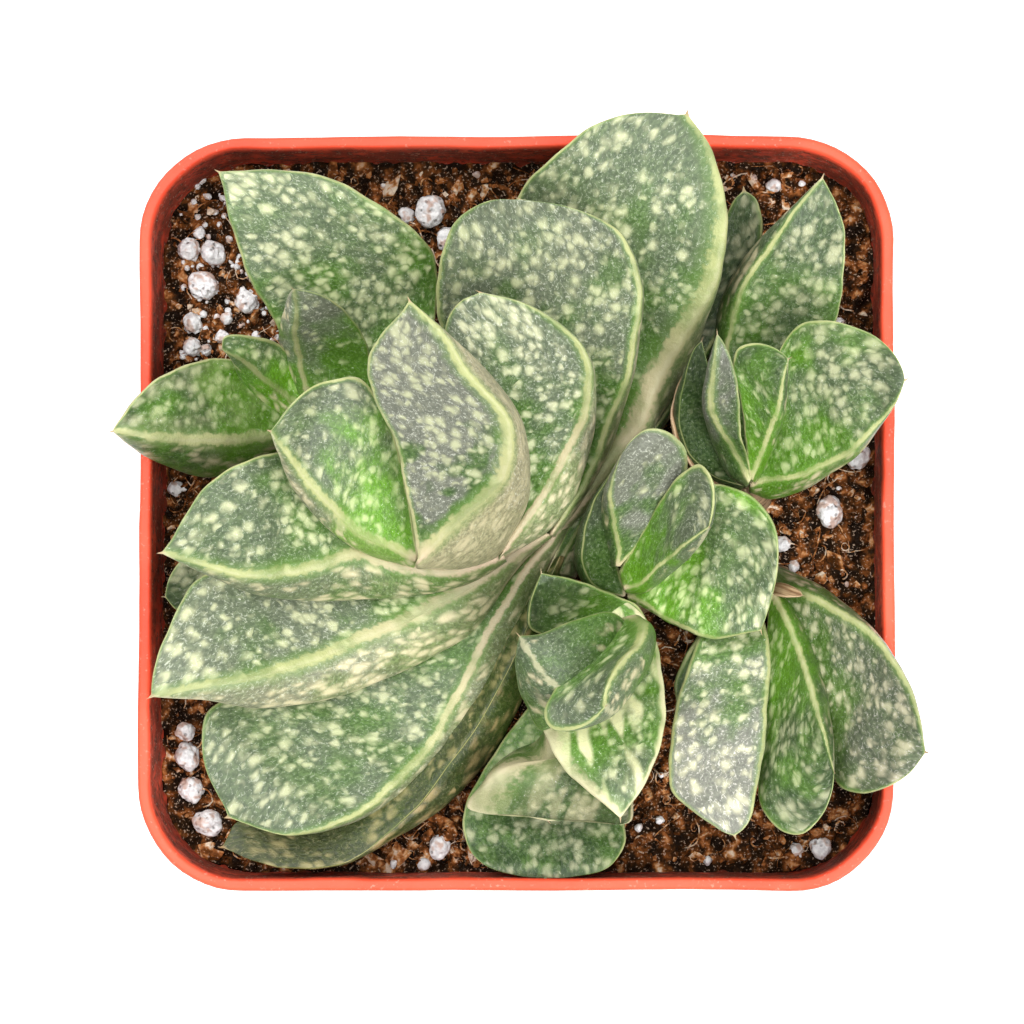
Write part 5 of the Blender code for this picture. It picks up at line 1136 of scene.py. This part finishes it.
# East pup
# A young pup against the main rosette, with a folded inner pair and one round bright green leaf.
EAST_LEAVES = [
    Leaf("east_leaf_1", (12.6, 5.6, 96),
         left=[(12, -6.5, 81), (12.2, -4.4, 83), (11.7, -2.2, 86), (11.2, 0.4, 89), (11.5, 2.7, 93),
            (12.1, 4.5, 95)],
         right=[(12.4, -6.5, 81), (16, -2.9, 84), (19.3, 1.3, 87), (20.9, 4.8, 90), (20.5, 7.1, 92),
            (18.6, 8.7, 94), (16, 9.1, 95), (14, 7.7, 96)],
         keel=[(11.8, -6.5, 77), (11, -3.8, 78), (10.4, -0.3, 80), (10.8, 2.9, 86), (11.9, 4.9, 92)],
         hollow=0.4, pale=(0.35, 0.4), grey=1.4, fresh=0.1, spots=-0.05, tint=1.25),
    Leaf("east_leaf_2", (22.9, -2.4, 92),
         left=[(12.2, -6.9, 80), (13.4, -4.8, 82), (15.4, -1.4, 85), (17.4, 1.6, 88), (19.8, 4.4, 91),
            (21.8, 5.3, 93), (23.1, 3.6, 94), (23.5, 0.7, 93)],
         right=[(12.9, -9.3, 80), (14.6, -8.8, 81), (16.6, -7.2, 84), (18.6, -5.5, 87), (20.7, -3.9, 90)],
         keel=[(13.4, -9.4, 76), (15.4, -9.4, 76), (17.8, -8, 78), (20.1, -6.4, 82), (22.1, -4.4, 88)],
         hollow=0.3, pale=(0.45, 0.35), grey=0.5, fresh=0.9, spots=0.15, tint=1.05),
    Leaf("east_leaf_3", (11.8, 4.8, 87),
         left=[(12.9, -10, 77), (10, -9.2, 77), (8.2, -7.1, 78), (7.8, -4.3, 80), (8.3, -1.3, 82),
            (9.6, 1.5, 84)],
         right=[(13.1, -9.7, 77), (12.7, -7.4, 78), (12, -5.7, 80), (11.7, -2.8, 82), (11.8, 0, 84),
            (12, 2.5, 86)],
         keel=[(12.6, -10, 72), (9.9, -9.4, 71), (7.9, -7.2, 72), (7.2, -4.3, 74), (7.9, -1.4, 77),
            (9.4, 1.7, 82)],
         hollow=0.1, pale=(0.15, 0.25), grey=0.3, fresh=0.2, spots=-0.1, tint=0.85),
    Leaf("east_leaf_4", (29.1, -14.2, 82),
         left=[(13.4, -9.1, 76), (16, -3.8, 78), (20.8, 2, 81), (23.7, 3.6, 82), (26.9, 2.6, 84),
            (29.6, 0.3, 85), (31.1, -3, 86), (31.2, -6.6, 86), (30.5, -10.3, 84), (29.7, -12.8, 83)],
         right=[(13.2, -10, 76), (15.4, -11.1, 77), (18.1, -13, 78), (20.7, -14.5, 80), (23.7, -15.3, 81),
            (26.6, -14.9, 82)],
         keel=[(13.6, -9.9, 71), (16.6, -10.6, 70), (20.8, -11.6, 71), (25, -11.7, 74), (27.9, -12.6, 78)],
         hollow=0.5, pale=(0.25, 0.4), grey=0.25, fresh=0.8, spots=0.74, tint=1.55),
]
build_leaves(EAST_LEAVES, 400)
build_stem("east_stem", (15, -11, 60), (13.2, -9.6, 73.5), 3.0)

# South pup
# A pup with a folded heart of three leaves, cream-streaked ones below and a flat one at the rim, painted
# darker for the shade it lies in.
SOUTH_LEAVES = [
    Leaf("south_leaf_1", (10.9, -23.3, 97),
         left=[(13.9, -12.4, 86), (15.4, -13.3, 89), (15.1, -15.5, 92), (13.1, -17.3, 95),
            (11.7, -19.7, 97), (10.9, -21.7, 97)],
         right=[(12, -13, 86), (10.1, -15.1, 88), (7.2, -18, 90), (4.6, -21.3, 92), (3.3, -24, 93),
            (3.9, -25.9, 94), (6.2, -26.2, 95), (8.8, -25.3, 96)],
         keel=[(15, -13.1, 82), (16.3, -15.5, 83), (15.9, -18.6, 85), (14.3, -21.5, 88), (12.3, -24, 92)],
         hollow=0.3, pale=(0.9, 0.5), grey=0.4, fresh=0.4, spots=0.3, tint=1.2),
    Leaf("south_leaf_2", (0.8, -15.1, 93),
         left=[(14.8, -15.3, 84), (13.4, -12.8, 86), (11.5, -11.8, 88), (9, -12.4, 90), (6.1, -13.4, 92),
            (3.2, -14.6, 93)],
         right=[(5.3, -24.7, 83), (3, -26.2, 84), (1.5, -23.8, 86), (0.3, -21.3, 88), (0, -18.7, 90),
            (0.3, -16.7, 92)],
         keel=[(10.1, -22.5, 88), (6.9, -21.9, 91), (4.6, -20.7, 92.5), (3, -18.8, 93.5), (1.7, -16.7, 94)],
         hollow=0.1, pale=(0.4, 0.4), grey=0.3, fresh=0.3, spots=-0.05, tint=1.05),
    Leaf("south_leaf_3", (12.5, -36.3, 88),
         left=[(10.1, -9, 80), (14.3, -10.9, 80), (16.6, -14.4, 81), (17.8, -19.4, 83), (18, -24.2, 85),
            (17.1, -28.9, 87), (15.2, -33, 88)],
         right=[(5.3, -15.2, 79), (3.1, -21.2, 80), (2.7, -24.7, 82), (3.7, -27.6, 84), (5.9, -30.8, 86),
            (9.2, -33.8, 88)],
         keel=[(7.6, -13.9, 74), (9, -19.9, 74), (10.2, -25.9, 77), (11.5, -31.8, 82)],
         hollow=0.4, pale=(0.5, 1.4), grey=0.3, fresh=0.6, spots=0.5, cream=1.0, tint=1.72),
    Leaf("south_leaf_4", (3.2, -7.5, 86),
         left=[(14.8, -15.1, 77), (10, -15.2, 78), (5.3, -15.2, 80), (1.9, -14.3, 82), (1.6, -12, 84),
            (2.3, -9.5, 86)],
         right=[(16, -13.4, 77), (14.8, -11.2, 79), (12.2, -9.8, 81), (9.6, -8.8, 83), (6.6, -8, 85),
            (4.6, -7.6, 86)],
         keel=[(15.4, -15, 72), (10, -15, 72), (5.2, -13.3, 74), (2.7, -10.4, 79)],
         hollow=0.3, pale=(0.2, 0.2), grey=0.1, fresh=0.7, spots=0.35, tint=1.05),
    Leaf("south_leaf_5", (3.9, -36.7, 82),
         left=[(10, -22.3, 75), (13, -29.5, 78), (14.4, -34.2, 80), (14.1, -36.9, 81), (8.9, -36.9, 82)],
         right=[(4, -26.5, 77), (3.5, -29.7, 79), (0.5, -29.8, 80), (-2.2, -30.6, 81), (-4.4, -32.8, 81),
            (-5.9, -35.1, 82), (-4.1, -35.8, 82), (0, -36, 82)],
         keel=[(4.5, -24, 71), (1.2, -26.8, 72), (-1.5, -30.1, 73), (-0.2, -33.6, 76)],
         hollow=0.2, pale=(0.3, 3), grey=0.3, fresh=0.3, spots=0.35, cream=0.4, tint=(0.83, 0.77, 0.82)),
    Leaf("south_leaf_6", (3.5, -43.5, 79),
         left=[(8.8, -21.1, 73), (11.8, -29.5, 75), (13.2, -36, 77), (13.2, -39.6, 78), (11.4, -42.2, 79),
            (7.6, -43.3, 79)],
         right=[(2.8, -21, 73), (-4.4, -30.7, 75), (-6.6, -36, 77), (-6.3, -39.6, 78), (-4.2, -41.9, 79),
            (-0.4, -43.2, 79)],
         keel=[(5.7, -21, 68), (3.9, -29.4, 69), (3.3, -36.7, 71), (3.4, -41.2, 75)],
         hollow=0.1, pale=(0.25, 0.25), grey=0.0, fresh=0.6, spots=0.7, tint=0.8),
]
build_leaves(SOUTH_LEAVES, 500)
build_stem("south_stem", (9, -20, 60), (8.5, -19, 75), 3.6)

# South-east pup
# Three long leaves fan out over the corner of the pot, the middle one young and bright green.
SOUTHEAST_LEAVES = [
    Leaf("southeast_leaf_1", (37.5, -30.8, 88),
         left=[(30.7, -9.5, 80), (32.1, -12.4, 82), (33.6, -16.3, 84), (34.9, -20.8, 86), (36.1, -25.3, 88),
            (36.9, -28.5, 88)],
         right=[(30, -9.8, 80), (29.5, -16.4, 79), (29, -23.5, 80), (28.5, -30.6, 81), (28.9, -35.6, 83),
            (31, -38.1, 84), (33.6, -38.6, 85), (35.9, -36.5, 86), (37.2, -33.6, 87)],
         keel=[(31.3, -9.4, 75), (33.2, -12.3, 76), (35.3, -16.4, 78), (36.8, -21.2, 80),
            (37.6, -25.7, 84)],
         hollow=0.2, pale=(0.6, 0.3), grey=0.1, fresh=0.9, spots=0.45, tint=0.9),
    Leaf("southeast_leaf_2", (25.9, -38.4, 86),
         left=[(27.7, -9.2, 77), (30, -13.4, 79), (30.4, -18.8, 81), (30, -24.2, 83), (29.3, -30.1, 85),
            (28.5, -34.4, 86), (27.6, -37.2, 86)],
         right=[(26.1, -9.2, 77), (21.9, -14.6, 78), (19.9, -19.4, 80), (18.7, -24.2, 82),
            (17.9, -29.5, 84), (18.4, -33.2, 85), (21.2, -35.9, 86), (24.1, -37.9, 86)],
         keel=[(27.1, -9, 71), (25.4, -15, 71), (24.1, -22.3, 73), (23.7, -29.5, 76), (24.2, -34.8, 81)],
         hollow=0.3, pale=(0.4, 0.3), grey=0.9, fresh=0.2, spots=0.42, tint=(1.68, 1.58, 1.74)),
    Leaf("southeast_leaf_3", (48.1, -28.6, 90),
         left=[(30.5, -9, 77), (33.2, -9.3, 79), (36.3, -10.6, 82), (39.5, -12.5, 85), (42.4, -14.8, 87),
            (44.7, -17.8, 89), (46.5, -21.3, 90), (47.6, -25.4, 91)],
         right=[(30.3, -9.9, 77), (32.1, -16.4, 78), (34.4, -22.9, 80), (36.3, -28.9, 81),
            (38.1, -32.9, 83), (40.9, -33.6, 85), (43.8, -32.9, 88), (46.3, -31.3, 89)],
         keel=[(30.6, -5.6, 72), (33.7, -7.3, 72), (37.4, -9.9, 73), (41.4, -15.1, 74), (44, -21.1, 76),
            (46.1, -26.5, 81)],
         hollow=0.7, pale=(0.6, 0.3), grey=0.4, fresh=0.3, spots=0.72, tint=(1.25, 1.12, 1.28)),
    # A low leaf deep in shade: its skin is kept dark green with few spots, as painted shade
    Leaf("southeast_leaf_4", (19.1, -22.5, 75.5),
         left=[(26.2, -10.2, 73), (23.8, -15.1, 74), (21.6, -18.7, 75), (20, -21.1, 75.5)],
         right=[(25, -9, 73), (22, -13.9, 74), (19.9, -17.5, 75), (19, -20.5, 75.5)],
         keel=[(25.6, -9.7, 70), (23, -14.5, 70), (20.7, -18.4, 71), (19.5, -21.1, 73)],
         hollow=0.2, grey=0.0, fresh=0.1, spots=0.1),
    Leaf("southeast_dried_bract", (34.1, -10, 81),
         left=[(29.8, -8.3, 77.3), (30.8, -8.2, 78.7), (31.8, -8.3, 79.7), (32.7, -8.6, 80.4),
            (33.4, -9, 80.7), (33.9, -9.5, 80.9)],
         right=[(29.2, -9.7, 77.7), (30, -9.8, 79.3), (30.9, -9.9, 80.5), (31.8, -10.1, 81.2),
            (32.9, -10.2, 81.5), (33.7, -10.2, 81.3)],
         keel=[(30, -9.5, 77.2), (30.9, -9.7, 78.6), (31.7, -9.8, 79.6), (32.4, -10, 80.2),
            (33.1, -10, 80.7), (33.7, -10, 80.9)],
         hollow=0.0),
]
build_leaves(SOUTHEAST_LEAVES, 600)
build_stem("southeast_stem", (32, -7, 60), (31, -9.2, 73.5), 3.0)
